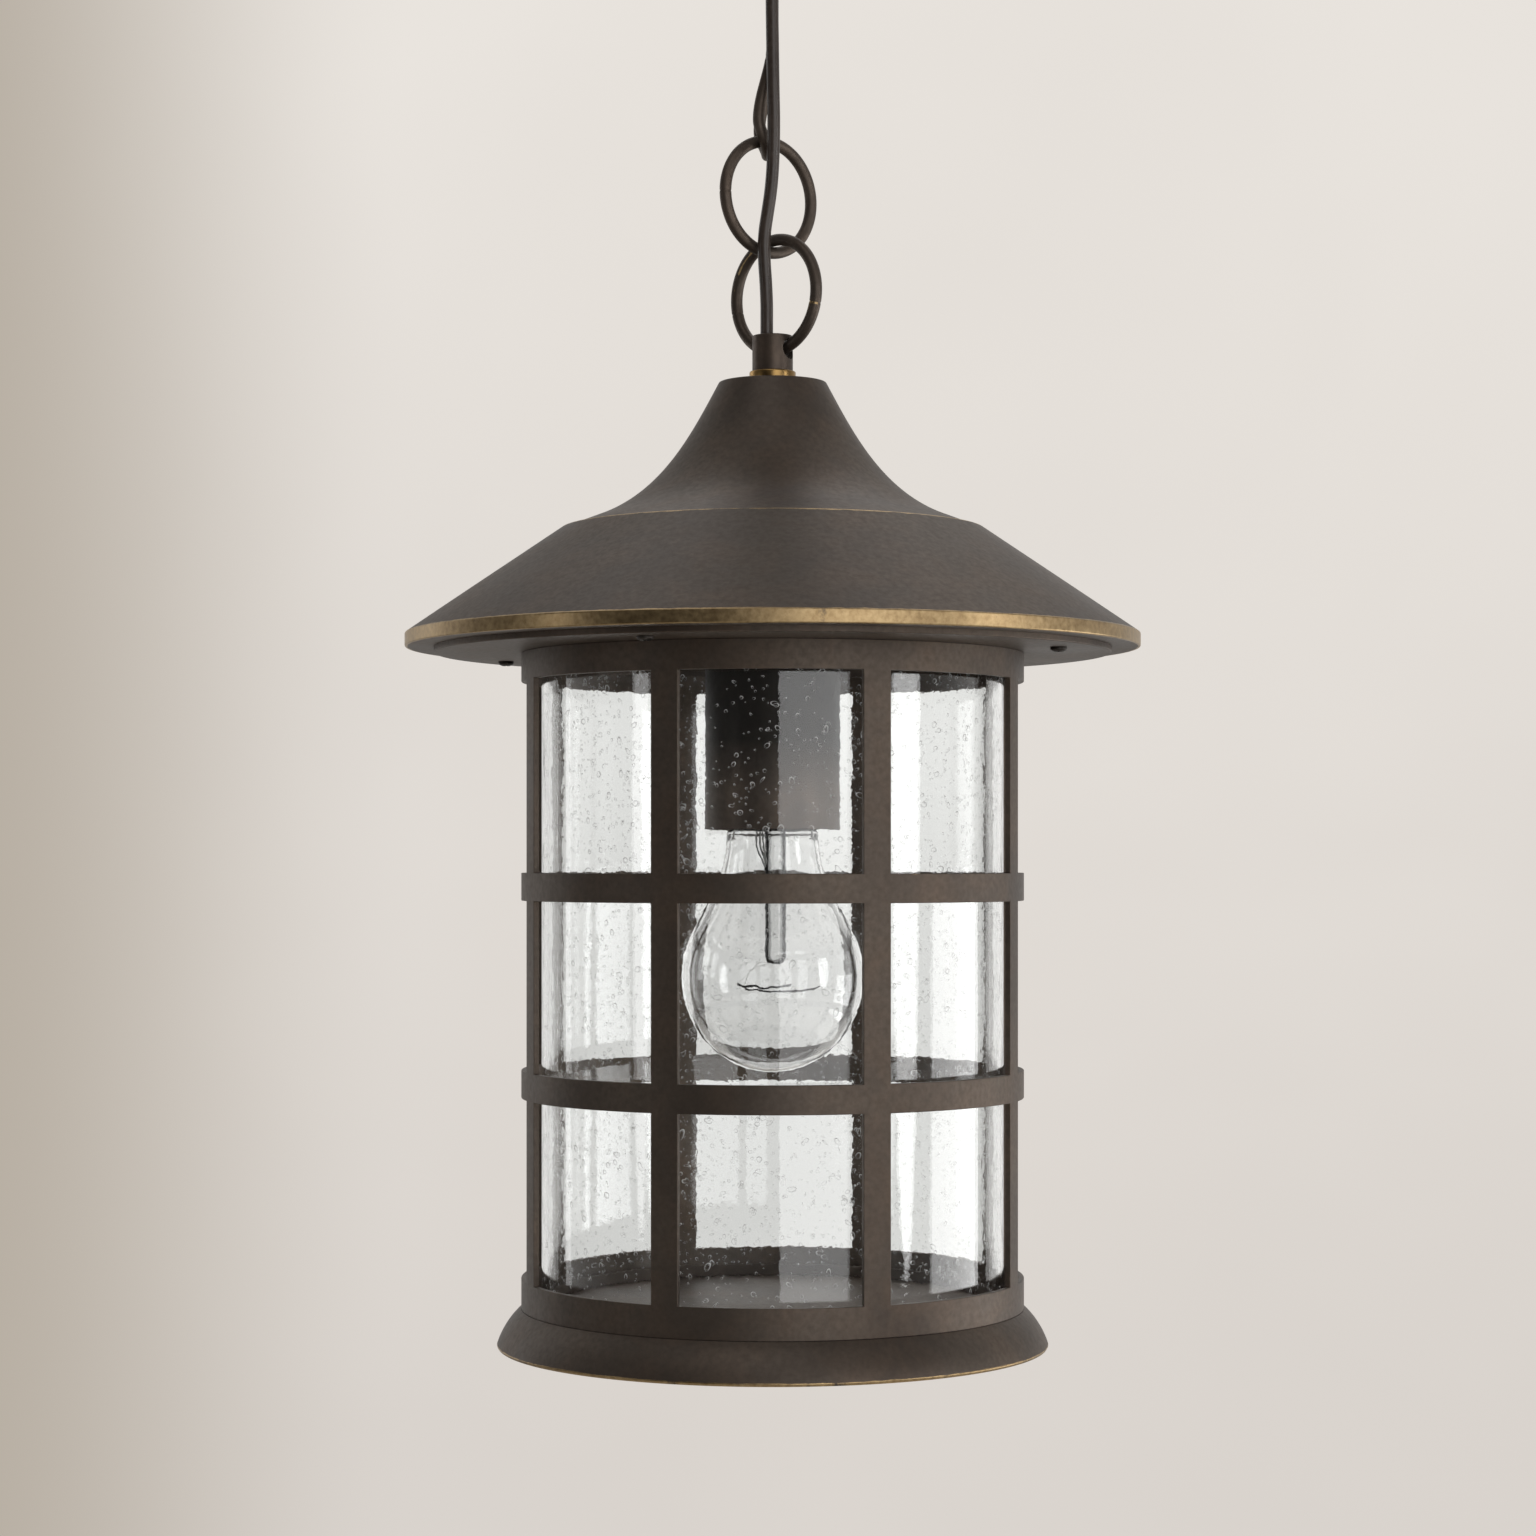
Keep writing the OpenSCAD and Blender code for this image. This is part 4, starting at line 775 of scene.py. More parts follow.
def arc_between(p, q, bulge, count):
    """Points on an arc whose middle stands off the chord by bulge, to the left of p to q."""
    p, q = Vector(p), Vector(q)
    chord = q - p
    half = chord.length / 2
    side = Vector((-chord.y, chord.x)).normalized()
    r = (half * half + bulge * bulge) / (2 * bulge)
    middle = p + chord / 2 + side * (bulge - r)
    start = math.atan2(p.y - middle.y, p.x - middle.x)
    sweep = -2 * math.asin(half / r)
    return [(middle.x + abs(r) * math.cos(start + sweep * k / count),
             middle.y + abs(r) * math.sin(start + sweep * k / count)) for k in range(count + 1)]


# Roof
BELL_TOP_Z, LEDGE_Z = node_top("roof_bell"), node_foot("roof_bell")
BRIM_TOP_Z, BRIM_FOOT_Z, ROOF_R = node_top("roof_brim"), node_foot("roof_brim"), node_radius("roof_brim")
SOFFIT_Z, SOFFIT_R = node_foot("soffit_plate"), node_radius("soffit_plate")
ROOF_WALL, LIP_GAP, STEM_HOLE_R, CROWN_R = 1.2, 0.7, 5.3, 18.6
ROOF_SCREW_R, ROOF_SCREW_TURN, ROOF_SCREW_L, ROOF_SCREW_HEAD_R = 104, 67.5, 9, 2.8
HEM_R, LEDGE_IN_R, BRIM_CROWN = 98, 64, 0.1
BELL_R = node_radius("roof_bell")
LIP_R = BELL_R + LIP_GAP + ROOF_WALL


def add_bell():
    foot = (BELL_R, BRIM_TOP_Z + 0.15)
    skirt = (foot[0] - 10.3, foot[1] + 10.3 * math.tan(math.radians(20.9)))
    run, fall = skirt[0] - CROWN_R, BELL_TOP_Z - skirt[1]
    curve = bezier((CROWN_R, BELL_TOP_Z), (CROWN_R + 0.225 * run, BELL_TOP_Z - 0.379 * fall),
                   (CROWN_R + 0.462 * run, BELL_TOP_Z - 0.815 * fall), skirt, 48)
    skirt_line = [(skirt[0] + (foot[0] - skirt[0]) * k / 5, skirt[1] + (foot[1] - skirt[1]) * k / 5)
                  for k in range(1, 6)]
    outer = curve + skirt_line
    inner = [p for p in reversed(offset_curve(outer, ROOF_WALL))
             if p[0] < BELL_R - ROOF_WALL and p[1] < BELL_TOP_Z - ROOF_WALL - 0.3]
    outline = [(STEM_HOLE_R, BELL_TOP_Z, 0)]
    outline += rounded_outline([
        (STEM_HOLE_R, BELL_TOP_Z), (CROWN_R, BELL_TOP_Z, 0.7, 0.3), outer[3]])[1:-1]
    outline += sharp_corners(outer[3:-1])
    outline += [(BELL_R - 0.1, foot[1] + 0.1, 0), (BELL_R, foot[1] - 0.1, 0), (BELL_R, LEDGE_Z, 0),
                (BELL_R - ROOF_WALL, LEDGE_Z, 0)]
    outline += sharp_corners(inner)
    outline += [(CROWN_R - ROOF_WALL, BELL_TOP_Z - ROOF_WALL, 0), (STEM_HOLE_R, BELL_TOP_Z - ROOF_WALL, 0)]
    shade(lathe("bell_shell", outline, bronze, "lantern", ("roof_bell",), 256))


def add_brim():
    start, end = Vector((LIP_R, BRIM_TOP_Z)), Vector((ROOF_R, BRIM_FOOT_Z + 4.5))
    chord = end - start
    out = Vector((-chord.y, chord.x)).normalized()
    curve = bezier(start, start + chord / 3 + out * 0.15 * BRIM_CROWN,
                   start + chord * 2 / 3 + out * BRIM_CROWN, end, 40)
    inner = list(reversed(offset_curve(curve, ROOF_WALL)))
    ledge_foot = LEDGE_Z - ROOF_WALL
    rim_in = ROOF_R - ROOF_WALL
    outline = rounded_outline([
        (LIP_R - ROOF_WALL, BRIM_TOP_Z, 0.35, 0.9), (LIP_R, BRIM_TOP_Z, 0.45, 0.98), curve[2]], 5)[:-1]
    outline = [p for p in outline if not (p[2] == 0.0 and p[0] > LIP_R)]
    outline += [(curve[1][0], curve[1][1], 0.2)]
    outline += sharp_corners(curve[2:-1])
    rim = rounded_outline([
        curve[-2], (ROOF_R, BRIM_FOOT_Z + 4.5, 0.5, 1.0), (ROOF_R, BRIM_FOOT_Z, 0.6, 1.0),
        (HEM_R, BRIM_FOOT_Z, 0.3)], 5)
    outline += rim[1:]
    outline += [(HEM_R, BRIM_FOOT_Z + ROOF_WALL, 0), (rim_in, BRIM_FOOT_Z + ROOF_WALL, 0)]
    outline += sharp_corners(p for p in inner if p[0] < rim_in and p[1] < ledge_foot - 0.3)
    outline += [(inner_radius(inner, ledge_foot), ledge_foot, 0), (LEDGE_IN_R, ledge_foot, 0),
                (LEDGE_IN_R, LEDGE_Z, 0), (LIP_R - ROOF_WALL, LEDGE_Z, 0)]
    brim = lathe("brim_shell", outline, bronze, "lantern", ("roof_brim",), 320)
    shade(brim)


def inner_radius(curve, z):
    for (r0, z0), (r1, z1) in zip(curve, curve[1:]):
        if min(z0, z1) <= z <= max(z0, z1):
            return r0 + (r1 - r0) * (z - z0) / (z1 - z0)
    return curve[-1][0]


def at_angles(start, count, radius):
    """Places round the axis: angles from +X towards +Y, in degrees."""
    for k in range(count):
        a = math.radians(start + 360 * k / count)
        yield Vector((radius * math.cos(a), radius * math.sin(a), 0)), a


def add_soffit():
    """The flat plate under the roof, with four cross-head screws."""
    hole_r = 24.4
    under = [(r, SOFFIT_Z, 0) for r in (50, 75, 92, 100, 108)]
    outline = rounded_outline([
        (hole_r, SOFFIT_Z, 0.2), (SOFFIT_R, SOFFIT_Z, 0.5), (SOFFIT_R, BRIM_FOOT_Z, 0),
        (hole_r, BRIM_FOOT_Z, 0)], 4)
    split_at = next(k for k, p in enumerate(outline) if p[0] > 60)
    outline = outline[:split_at] + under + outline[split_at:]
    plate = lathe("soffit_disc", outline, bronze, "lantern", ("soffit_plate",), 256)
    for place, _ in at_angles(ROOF_SCREW_TURN, 4, ROOF_SCREW_R):
        low, high = Vector((0, 0, SOFFIT_Z - 1)), Vector((0, 0, BRIM_FOOT_Z + 1))
        cut(plate, rod_cutter("screw_hole", place + low, place + high, 1.95))
    shade(plate)
    shank_r, head_h = 1.75, SOFFIT_Z - node_foot("roof_screws")
    cross_screws("screw_head", "roof_screw", at_angles(ROOF_SCREW_TURN, 4, ROOF_SCREW_R), SOFFIT_Z, [
        (0, -head_h, 0), (1.4, -head_h, 0), (ROOF_SCREW_HEAD_R, -0.6 * head_h, 0.8),
        (ROOF_SCREW_HEAD_R, 0, 0.1), (shank_r, 0, 0), (shank_r, ROOF_SCREW_L, 0.2), (0, ROOF_SCREW_L, 0)],
        black_screw, 48, (1.7, 0.34, 0.35, -head_h - 0.5, -head_h + 0.9))


def cross_screws(name, stem, places, z, corners, made, steps, recess):
    """Screws round the axis with a cross recess, given as half length, half width, turn, foot and top."""
    half_l, half_w, turned, low, high = recess
    heads = []
    for place, a in places:
        head = lathe(name, rounded_outline(corners, 4), made, "lantern", (), steps)
        for turn in (a + turned, a + turned + math.pi / 2):
            cut(head, slot_cutter(half_l, half_w, turn, low, high))
        head.data.transform(Matrix.Translation((place + Vector((0, 0, z))) * MM))
        heads.append(head)
    joined = merged(stem + "_set", heads)
    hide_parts(stem + "s")
    shade(joined, math.radians(30))


def slot_cutter(half_l, half_w, turn, low, high):
    """A narrow box for one slot of a cross recess."""
    along = Vector((math.cos(turn), math.sin(turn), 0))
    across = Vector((-math.sin(turn), math.cos(turn), 0))
    signs = ((-1, -1), (1, -1), (1, 1), (-1, 1))
    corners = [along * (sx * half_l) + across * (sy * half_w) for sx, sy in signs]
    points = [p + Vector((0, 0, z)) for z in (low, high) for p in corners]
    sides = [(k, (k + 1) % 4, 4 + (k + 1) % 4, 4 + k) for k in range(4)]
    return cutter_mesh("slot", points, [(3, 2, 1, 0), (4, 5, 6, 7)] + sides)


# Cage
CAGE_R, CAGE_FOOT_Z = node_radius("cage"), node_foot("cage")
CAGE_IN_R = CAGE_R - 2.0
POST_W = 9.7
WINDOW_ROWS = [(-503.45, -441.45), (-431.85, -373.45), (-363.85, -297.95)]
POST_ANGLES = [23.4, 70.65, 109.35, 156.6, 203.4, 250.65, 289.35, 336.6]
POST_HALF = math.degrees(math.asin(POST_W / 2 / CAGE_R))


def split(low, high, parts):
    return [low + (high - low) * k / parts for k in range(parts)]


def add_cage():
    """The cage as one lattice: the window cells are left out and their edges walled and rounded."""
    angles, open_columns = [], set()
    for k, post in enumerate(POST_ANGLES):
        after = POST_ANGLES[(k + 1) % 8] + (360 if k == 7 else 0)
        angles += split(post - POST_HALF, post + POST_HALF, 4)
        first = len(angles)
        angles += split(post + POST_HALF, after - POST_HALF, 20)
        open_columns.update(range(first, len(angles)))
    heights, open_rows = [], set()
    foot = CAGE_FOOT_Z
    for low, high in WINDOW_ROWS:
        heights += split(foot, low, 4)
        first = len(heights)
        heights += split(low, high, 14)
        open_rows.update(range(first, len(heights)))
        foot = high
    heights += split(foot, SOFFIT_Z, 4) + [SOFFIT_Z]
    columns, rows = len(angles), len(heights)
    points = []
    for r in (CAGE_R, CAGE_IN_R):
        for z in heights:
            for angle in angles:
                a = math.radians(angle)
                points.append((r * math.sin(a), -r * math.cos(a), z))

    def at(layer, row, column):
        return (layer * rows + row) * columns + column % columns

    def is_open(row, column):
        return row in open_rows and column % columns in open_columns

    faces = []
    for row in range(rows - 1):
        for c in range(columns):
            if is_open(row, c):
                continue
            out = [at(0, row + i, c + j) for i, j in ((0, 0), (0, 1), (1, 1), (1, 0))]
            within = [at(1, row + i, c + j) for i, j in ((0, 0), (0, 1), (1, 1), (1, 0))]
            faces += [tuple(out), tuple(reversed(within))]
            bare = [row == 0 or is_open(row - 1, c), is_open(row, c + 1),
                    row == rows - 2 or is_open(row + 1, c), is_open(row, c - 1)]
            for k in range(4):
                if bare[k]:
                    n = (k + 1) % 4
                    faces.append((out[k], within[k], within[n], out[n]))
    body = add_mesh("cage_lattice", points, faces, bronze, "lantern")
    mesh = bmesh.new()
    mesh.from_mesh(body.data)
    loose = [v for v in mesh.verts if not v.link_faces]
    bmesh.ops.delete(mesh, geom=loose, context="VERTS")
    bmesh.ops.recalc_face_normals(mesh, faces=mesh.faces)
    hard = [e for e in mesh.edges if len(e.link_faces) == 2 and e.calc_face_angle() > 1.0]
    bmesh.ops.bevel(mesh, geom=hard, offset=0.34 * MM, segments=3, profile=0.6, affect="EDGES")
    wear = mesh.verts.layers.float.new("wear")
    for v in mesh.verts:
        x, y, z = v.co / MM
        r, a = math.hypot(x, y), math.degrees(math.atan2(x, -y)) % 360
        if r < CAGE_R - 0.5:
            continue
        side = min(turn_between(a, post + sign * POST_HALF)
                   for post in POST_ANGLES for sign in (-1, 1)) * math.radians(1) * CAGE_R
        level = min(abs(z - edge) for pair in WINDOW_ROWS for edge in pair)
        inside_row = any(low - 0.6 < z < high + 0.6 for low, high in WINDOW_ROWS)
        near_post = any(turn_between(a, post) < POST_HALF - 0.3 for post in POST_ANGLES)
        edge = side if inside_row else 99.0
        if not near_post:
            edge = min(edge, level)
        if edge < 0.5:
            v[wear] = 0.42
    mesh.to_mesh(body.data)
    mesh.free()
    shade(body)
    flange_in, flange_out, flange_h, flange_z = 80.7, CAGE_IN_R + 0.4, 1.2, node_foot("bottom_gasket")
    flange = lathe("cage_flange", rounded_outline([
        (flange_in, flange_z, 0.2), (flange_out, flange_z, 0), (flange_out, flange_z + flange_h, 0),
        (flange_in, flange_z + flange_h, 0.2)], 3),
        bronze, "lantern", (), 192)
    joined = merged("cage_body", [body, flange])
    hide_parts("cage")


# Glass
GLASS_R, GLASS_WALL = node_radius("glass_cylinder"), 2.0
GLASS_IN_R = GLASS_R - GLASS_WALL
GLASS_FOOT_Z, GLASS_TOP_Z = node_foot("glass_cylinder"), node_top("glass_cylinder")


def glass_waves(seed):
    """A smooth unevenness of the glass wall, in millimetres, that closes round the cylinder."""
    chance = random.Random(seed)
    parts = []
    for _ in range(26):
        turns = chance.randint(3, 30)
        length = chance.uniform(16, 70)
        parts.append((turns, TURN / length, chance.uniform(0, TURN), chance.uniform(0.25, 1.0)))
    total = math.sqrt(sum(p[3] ** 2 for p in parts) / 2)

    def height(angle, z):
        return sum(w * math.sin(t * angle + k * z + s) for t, k, s, w in parts) / total
    return height


def add_glass():
    """The cylinder as a closed wall whose outer and inner faces are slightly uneven, within its thickness."""
    steps, rows = 288, 96
    points, faces = [], []
    for radius, wave, size in ((GLASS_R, glass_waves(4), -0.004), (GLASS_IN_R, glass_waves(9), 0.006)):
        for i in range(rows + 1):
            z = GLASS_FOOT_Z + (GLASS_TOP_Z - GLASS_FOOT_Z) * i / rows
            fade = min(1.0, min(i, rows - i) / 2)
            for k in range(steps):
                a = TURN * k / steps
                r = radius + size * (1 + fade * max(-1.0, min(1.0, wave(a, z) / 2.2)))
                points.append((r * math.sin(a), -r * math.cos(a), z))
    layer, top = (rows + 1) * steps, rows * steps
    for k in range(steps):
        n = (k + 1) % steps
        for i in range(rows):
            a, b, c, d = i * steps + k, i * steps + n, (i + 1) * steps + n, (i + 1) * steps + k
            faces.append((a, b, c, d))
            faces.append((layer + a, layer + d, layer + c, layer + b))
        faces.append((k, layer + k, layer + n, n))
        faces.append((top + k, top + n, layer + top + n, layer + top + k))
    pane = add_mesh("glass_wall", points, faces, seeded_glass, "lantern", ("glass_cylinder",))
    set_outward(pane)


def bubble_mesh(around, rim):
    """Points and faces of a flat bubble: two clear caps and a rim, given from the cap's edge outwards as
    (radius, height, paleness) in parts of its size. The rim is palest towards its own +X."""
    levels = rim + [(r, -h, pale) for r, h, pale in reversed(rim) if h > 0]
    points = [(r * math.cos(a), r * math.sin(a), h, pale * (0.6 + 0.4 * math.cos(a)))
              for r, h, pale in levels for a in turns_of(around)]
    faces = [tuple(range(around)), tuple(reversed(range(len(points) - around, len(points))))]
    for i in range(len(levels) - 1):
        for k in range(around):
            n = (k + 1) % around
            a, b = i * around, (i + 1) * around
            faces.append((a + k, b + k, b + n, a + n))
    return points, faces


SEED_COUNT = 9000
SEED_MARGIN = 0.12


def add_seeds():
    """Air bubbles in the glass wall, some round and some drawn out, scattered in loose drifts."""
    chance = random.Random(21)
    fine = bubble_mesh(9, [(0.5, 1.0, 0.0), (1.0, 0.0, 0.9)])
    coarse = bubble_mesh(14, [(0.58, 1.0, 0.0), (0.82, 0.75, 0.35), (1.0, 0.0, 0.9)])
    density = glass_waves(31)
    points, faces, pale = [], [], []
    middle = (GLASS_R + GLASS_IN_R) / 2
    up = Vector((0, 0, 1))
    made = 0
    while made < SEED_COUNT:
        a, z = chance.uniform(0, TURN), chance.uniform(GLASS_FOOT_Z + 2, GLASS_TOP_Z - 2)
        if chance.random() > 0.7 + 0.16 * density(a, z):
            continue
        made += 1
        size = min(1.05, 0.21 + chance.expovariate(4.8))
        long = min(2.0, 1.0 + abs(chance.gauss(0, 0.4)))
        if chance.random() < 0.025:
            long = chance.uniform(2.6, 4.2)
            size = min(size, 0.34)
        turn = chance.uniform(0, math.pi)
        shift = chance.uniform(-0.35, 0.35)
        thick = min(size * 0.55, GLASS_WALL / 2 - abs(shift) - SEED_MARGIN)
        bend = chance.uniform(-0.25, 0.25)
        out = Vector((math.sin(a), -math.cos(a), 0))
        along = Vector((math.cos(a), math.sin(a), 0)) * math.cos(turn) + up * math.sin(turn)
        across = out.cross(along)
        centre = out * (middle + shift) + up * z
        shape, shape_faces = coarse if size > 0.36 else fine
        first = len(points)
        for x, y, h, value in shape:
            aside = size * (y * (1 + 0.25 * x * bend) + bend * x * x)
            points.append(tuple(centre + along * (x * size * long) + across * aside + out * (h * thick)))
            pale.append(value)
        faces += [tuple(first + v for v in face) for face in shape_faces]
    seeds = add_mesh("glass_seeds", points, faces, seed_rim, "lantern", (), pale,
                     math.radians(32))
    set_outward(seeds)


def add_gaskets():
    """Two rubber channels that hold the glass: a flat foot and a lip inside the wall."""
    lip_in, lip_out, edge = GLASS_IN_R - 1.7, GLASS_IN_R - 0.3, node_radius("top_gasket")
    base = [(lip_in, 0, 0.2), (edge, 0, 0.2), (edge, 1.5, 0.2), (lip_out, 1.5, 0), (lip_out, 4.0, 0.4),
            (lip_in, 4.0, 0.4)]
    low = [(r, node_foot("bottom_gasket") + h, f) for r, h, f in base]
    high = [(r, node_top("top_gasket") - h, f) for r, h, f in reversed(base)]
    lathe("lower_gasket_ring", rounded_outline(low, 4), rubber, "lantern", ("bottom_gasket",), 192)
    lathe("upper_gasket_ring", rounded_outline(high, 4), rubber, "lantern", ("top_gasket",), 192)


# Base
BASE_SCREW_R = 82.85


def near(a, b):
    return (Vector(a[:2]) - Vector(b[:2])).length < 1e-4


def add_base():
    """The flared base ring, the floor plate that it carries and its three screws."""
    foot, radius, wall, hem_w = node_foot("base_flare"), node_radius("base_flare"), ROOF_WALL, 3.0
    opening_r, top_r, rim_h = 73.98, CAGE_R + 0.2, 0.8
    flare = arc_between((top_r, CAGE_FOOT_Z), (radius, foot + rim_h), 1.0, 16)
    inner = [p for p in reversed(offset_curve(flare, wall)) if foot + wall < p[1] < CAGE_FOOT_Z - wall]
    outline = rounded_outline([
        (opening_r, CAGE_FOOT_Z, 0.3), (top_r, CAGE_FOOT_Z, 0.5, 0.3), flare[2]], 4)[:-1]
    outline += sharp_corners(flare[2:-2])
    outline += [(flare[-2][0], flare[-2][1], 0.1)]
    outline += rounded_outline([
        flare[-2], (radius, foot + rim_h, 0.5, 0.92), (radius - 0.5, foot, 0.35, 0.92),
        (radius - hem_w, foot, 0.2)], 4)[1:]
    outline = [p for k, p in enumerate(outline) if k == 0 or not near(p, outline[k - 1])]
    outline += [(radius - hem_w, foot + wall, 0)] + sharp_corners(inner)
    outline += [(CAGE_IN_R, CAGE_FOOT_Z - wall, 0), (opening_r, CAGE_FOOT_Z - wall, 0)]
    shade(lathe("base_shell", outline, bronze, "lantern", ("base_flare",), 256))
    plate_r, plate_z = node_radius("floor_plate"), node_top("floor_plate")
    plate = rounded_outline([
        (0, CAGE_FOOT_Z, 0), (40, CAGE_FOOT_Z, 0), (70, CAGE_FOOT_Z, 0), (plate_r, CAGE_FOOT_Z, 0.1),
        (plate_r, plate_z, 0.1), (70, plate_z, 0), (40, plate_z, 0), (0, plate_z, 0)], 3)
    lathe("floor_disc", plate, bronze, "lantern", ("floor_plate",), 192)
    cross_screws("base_screw", "base_screw", at_angles(90, 3, BASE_SCREW_R), CAGE_FOOT_Z - wall, [
        (0, -1.6, 0), (1.2, -1.6, 0), (2.5, -1.35, 0.5), (2.5, 0, 0), (1.2, 0, 0), (1.2, 4.6, 0.2),
        (0, 4.6, 0)], steel, 40, (1.6, 0.3, 0.5, -2.2, -0.8))


# Lampholder and bulb
CUP_FOOT_Z, CUP_TOP_Z, CUP_R = node_foot("holder_cup"), node_top("holder_cup"), node_radius("holder_cup")
BULB_FOOT_Z, BULB_R = node_foot("bulb_glass"), node_radius("bulb_glass")
BULB_WIDE_Z = BULB_FOOT_Z + BULB_R + 1.3
CAP_Z, CAP_TOP_Z, CAP_R = node_foot("bulb_cap"), node_top("bulb_cap"), node_radius("bulb_cap")
NECK_Z, NECK_R = CUP_FOOT_Z - 1.6, 15.8
STEM_FOOT_Z, STEM_R, STEM_SIDE = node_foot("bulb_stem"), 3.6, 1.0
FILAMENT_Z = (node_foot("bulb_filament") + node_top("bulb_filament")) / 2


def add_cup():
    wall = 1.0
    outline = rounded_outline([
        (STEM_HOLE_R, CUP_TOP_Z, 0), (CUP_R, CUP_TOP_Z, 1.2), (CUP_R, CUP_FOOT_Z, 0.3, 0.25),
        (CUP_R - wall, CUP_FOOT_Z, 0.3), (CUP_R - wall, CUP_TOP_Z - wall, 0.9),
        (STEM_HOLE_R, CUP_TOP_Z - wall, 0)], 5)
    # The cup takes the bronze whose top is darkened by painted shade.
    shade(lathe("cup_shell", outline, bronze_with_painted_top_shade, "lantern", ("holder_cup",), 160))


def add_bulb():
    """A clear pear-shaped bulb: thin envelope, threaded cap, and a glass stem that hangs a little aside."""
    wall, fall = 0.8, BULB_FOOT_Z - BULB_WIDE_Z
    quarter = [math.pi * k / 72 for k in range(37)]
    line = [(BULB_R * math.sin(a), BULB_WIDE_Z + fall * math.cos(a)) for a in quarter]
    line += bezier((BULB_R, BULB_WIDE_Z), (BULB_R, BULB_WIDE_Z + 20), (NECK_R + 1.0, BULB_WIDE_Z + 24),
                   (NECK_R, NECK_Z), 40)[1:]
    inner = list(reversed(offset_curve(line, -wall)))[:-1]
    throat = CAP_R - 1.2
    outline = sharp_corners(line)
    outline += [
        (NECK_R - 0.2, NECK_Z + 0.8, 0), (NECK_R - 0.8, NECK_Z + 1.5, 0), (CAP_R + 0.6, NECK_Z + 2.4, 0),
        (CAP_R + 0.3, CAP_Z, 0), (throat, CAP_Z, 0), (throat, CAP_Z + 5, 0), (throat - wall, CAP_Z + 5, 0),
        (throat - wall, NECK_Z + 1.9, 0), (NECK_R - 1.5, NECK_Z + 0.9, 0)]
    outline += sharp_corners(p for p in inner if p[1] < NECK_Z - 0.2) + [(0, BULB_FOOT_Z + wall, 0)]
    lathe("bulb_envelope", outline, bulb_glass, "bulb", ("bulb_glass",), 128, math.radians(50))
    pitch, depth = 3.6, 0.35
    cap = [(CAP_R, CAP_Z, 0), (CAP_R, CAP_Z + 1.2, 0)]
    for k in range(1, 96):
        h = 1.4 + (CAP_TOP_Z - CAP_Z - 3.6) * k / 96
        cap.append((CAP_R - depth * (1 - math.cos(TURN * h / pitch)), CAP_Z + h, 0))
    cap += rounded_outline([cap[-1], (CAP_R - 0.5, CAP_TOP_Z, 0.8), (0, CAP_TOP_Z, 0)], 4)[1:]
    cap += [(0, CAP_TOP_Z - 1, 0), (CAP_R - 1, CAP_TOP_Z - 1, 0), (CAP_R - 1, CAP_Z, 0)]
    shade(lathe("bulb_cap_shell", cap, cap_metal, "bulb", ("bulb_cap",), 96))
    foot, flare_r = STEM_FOOT_Z, node_radius("bulb_stem")
    stem = [(0, foot, 0), (1.6, foot + 0.1, 0), (2.8, foot + 0.65, 0), (3.45, foot + 1.5, 0),
            (STEM_R, foot + 2.6, 0), (STEM_R, -352, 0), (3.75, -349.6, 0), (4.6, -347.2, 0), (6.8, -344.6, 0),
            (flare_r, CAP_Z + 4, 0), (0, CAP_Z + 4, 0)]
    piece = lathe("bulb_stem_glass", stem, stem_glass, "bulb", ("bulb_stem",), 64,
                  math.radians(60))
    for v in piece.data.vertices:
        v.co.x += STEM_SIDE * MM * smooth_step((-344 - v.co.z / MM) / 8)
    add_filament()


def wound(name, knots, coil_r, wire_r, pitch):
    """A fine wire wound round a line that runs mostly along X."""
    line = smooth_line(knots, pitch / 8)
    points, gone = [], 0.0
    for k, p in enumerate(line):
        gone += (p - line[k - 1]).length if k else 0.0
        a = TURN * gone / pitch
        points.append(p + Vector((0, math.cos(a), math.sin(a))) * coil_r)
    return tube(name, points, wire_r, tungsten, "bulb", (), 6)


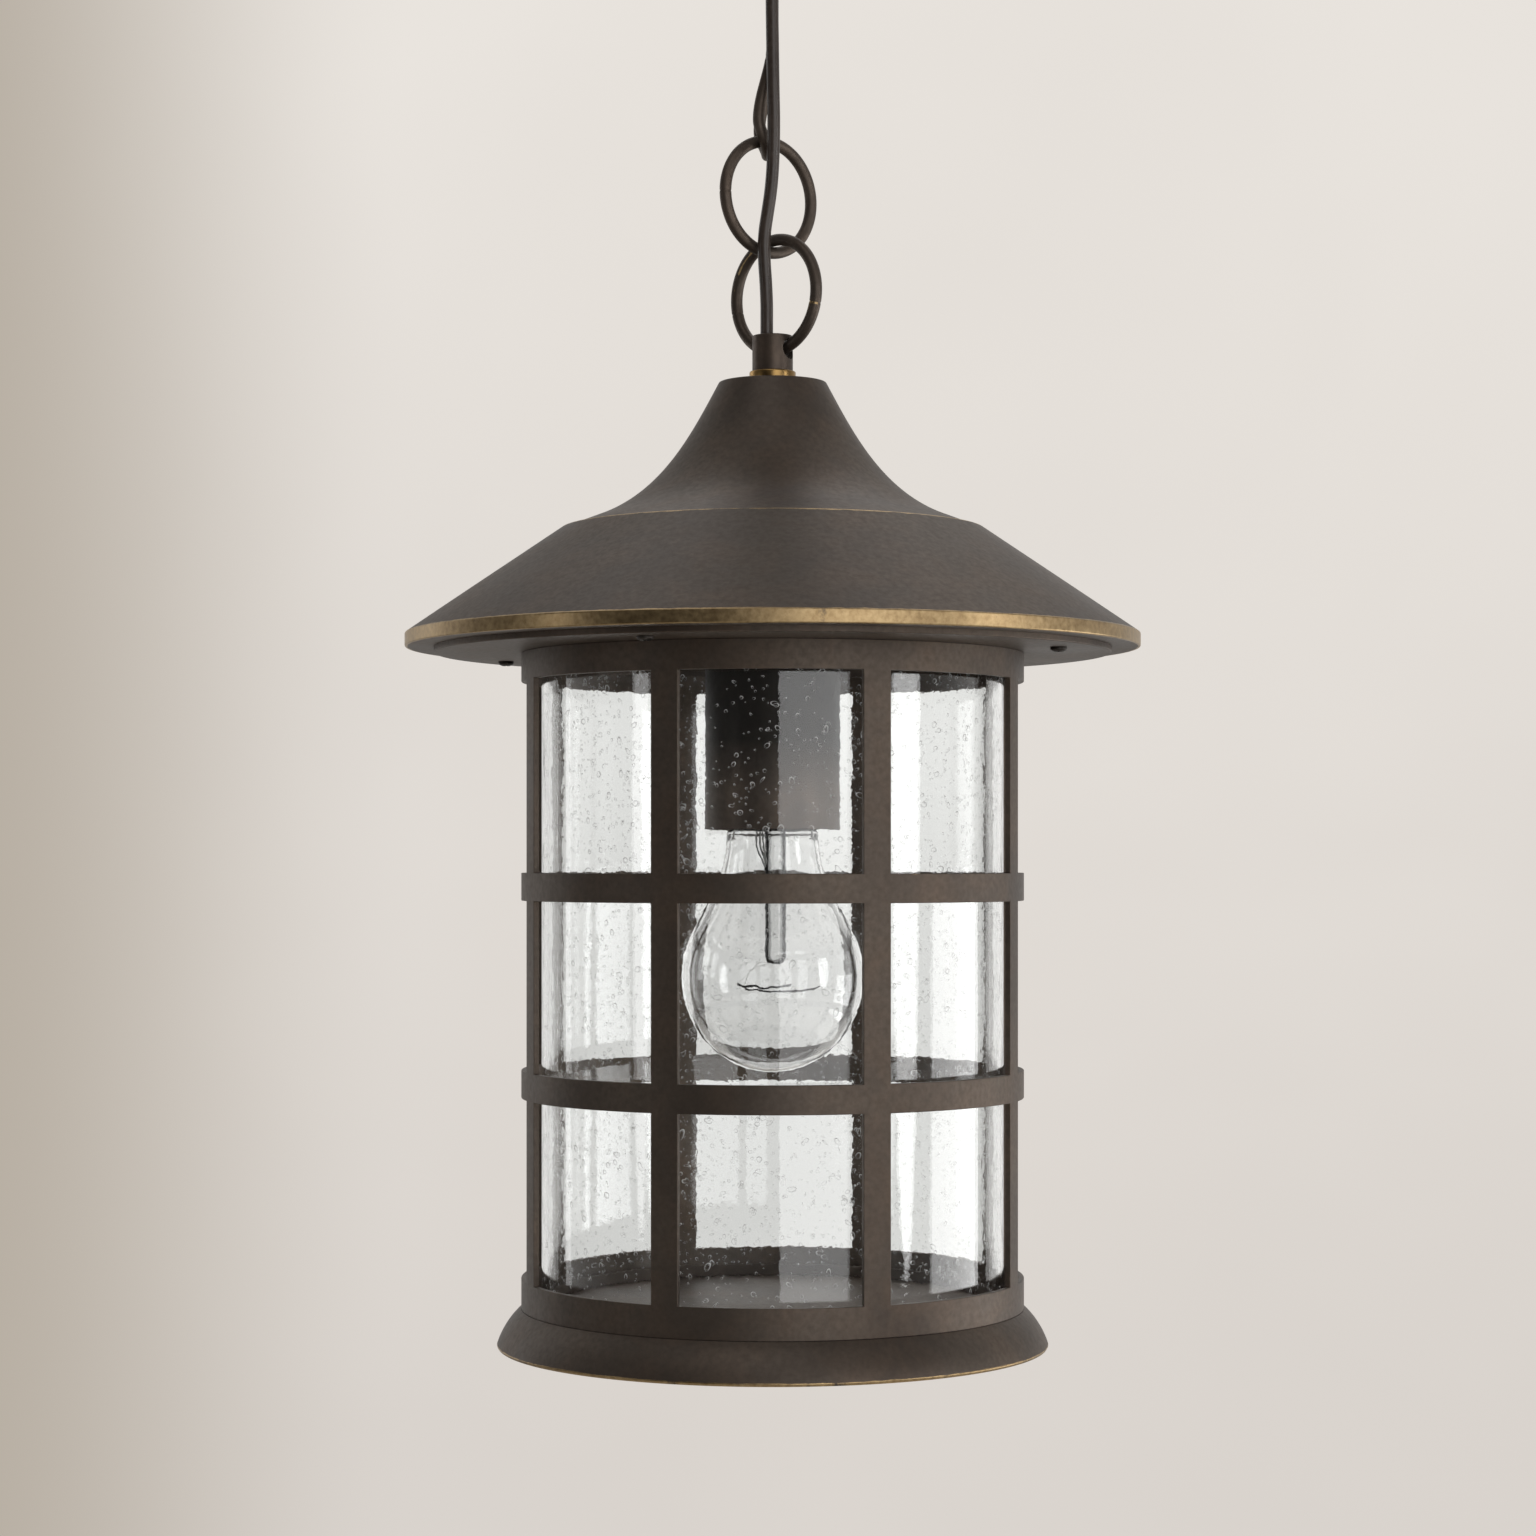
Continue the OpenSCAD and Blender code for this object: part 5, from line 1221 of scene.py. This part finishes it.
def add_filament():
    """Two dark leads beside the stem, thin arms out of its foot and two wound strands between them."""
    foot, z = STEM_FOOT_Z, FILAMENT_Z
    wires = []
    for radius, knots in (
            (0.34, [(-5.7, -1.6, -346.8), (-5.65, -1.8, -352), (-5.5, -2.0, -355.3), (-3.9, -2.3, -358.8),
                    (-2.4, -2.6, -362.0)]),
            (0.34, [(-4.5, -1.8, -346.8), (-4.4, -2.0, -352), (-4.1, -2.2, -355.3), (-3.1, -2.6, -357.7),
                    (-2.2, -3.0, -361.0)]),
            (0.3, [(-3.4, -2.4, -346.8), (-3.3, -2.6, -353), (-2.7, -2.9, -357.0), (-2.1, -3.2, -360.0)]),
            (0.07, [(-0.9, 0.3, foot + 0.3), (-4.6, 0.3, foot + 0.2), (-8.3, 0.2, foot - 3.4),
                    (-9.5, 0, foot - 6.5), (-9.9, 0, z + 0.1)]),
            (0.07, [(2.4, 0.3, foot + 0.3), (3.3, 0.3, foot - 1.2), (4.3, 0.2, foot - 4.0),
                    (4.5, 0, foot - 7.2), (4.6, 0, z + 0.6)]),
            (0.05, [(-0.6, -0.3, foot + 0.4), (-6.6, -0.4, foot - 1.6), (-10.6, -0.2, foot - 5.4),
                    (-12.5, 0, z + 1.6)])):
        wires.append(tube("lead", smooth_line(knots, 0.7), radius, steel, "bulb", (), 8))
    joined = merged("bulb_wire_set", wires)
    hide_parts("bulb_wires")
    shade(joined, math.radians(60), False)
    upper = [(-12.3, 0, z + 1.55), (-10.1, 0, z + 0.55), (-8, 0, z + 0.65), (-5.2, 0, z + 0.85),
             (-4.0, 0, z + 0.05), (0.3, 0, z + 0.55), (3.6, 0, z + 0.75), (6.6, 0, z + 1.25)]
    lower = [(-9.7, 0.5, z - 0.15), (-7.6, 0.5, z - 0.65), (-5.6, 0.5, z - 0.45), (-3.1, 0.5, z - 0.95),
             (0.3, 0.5, z - 1.05), (4.9, 0.5, z - 0.95), (10, 0.5, z - 0.65), (14.2, 0.5, z - 0.15),
             (16.3, 0.5, z + 0.85)]
    strands = [wound("strand", knots, 0.25, 0.17, 0.42) for knots in (upper, lower)]
    joined = merged("filament_coil", strands)
    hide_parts("bulb_filament")
    shade(joined, math.radians(60), False)


add_rings()
add_link()
add_hub()
add_canopy()
add_bell()
add_brim()
add_soffit()
add_cage()
add_glass()
add_seeds()
add_gaskets()
add_base()
add_cup()
add_bulb()

# Nodes that keep their own shape
NODE_FINISHES = (
    (steel, "mounting_strap", "canopy_stem", "strap_nut", "bell_washer", "bell_nut", "roof_stem",
     "roof_crossbar", "crossbar_nut", "roof_screw_nuts", "cup_nuts"),
    (brass, "holder_shell", "holder_contact", "terminal_screws", "bulb_contact"),
    (green_screw, "earth_screw"), (copper, "cord_cores"), (porcelain, "holder_body"),
    (jacket, "inner_cord"), (black_glass, "bulb_insulator"))
for made, *nodes in NODE_FINISHES:
    for node in nodes:
        piece = bpy.data.objects[node]
        if not piece.material_slots:
            piece.data.materials.append(made)
        for held in piece.material_slots:
            held.material = made
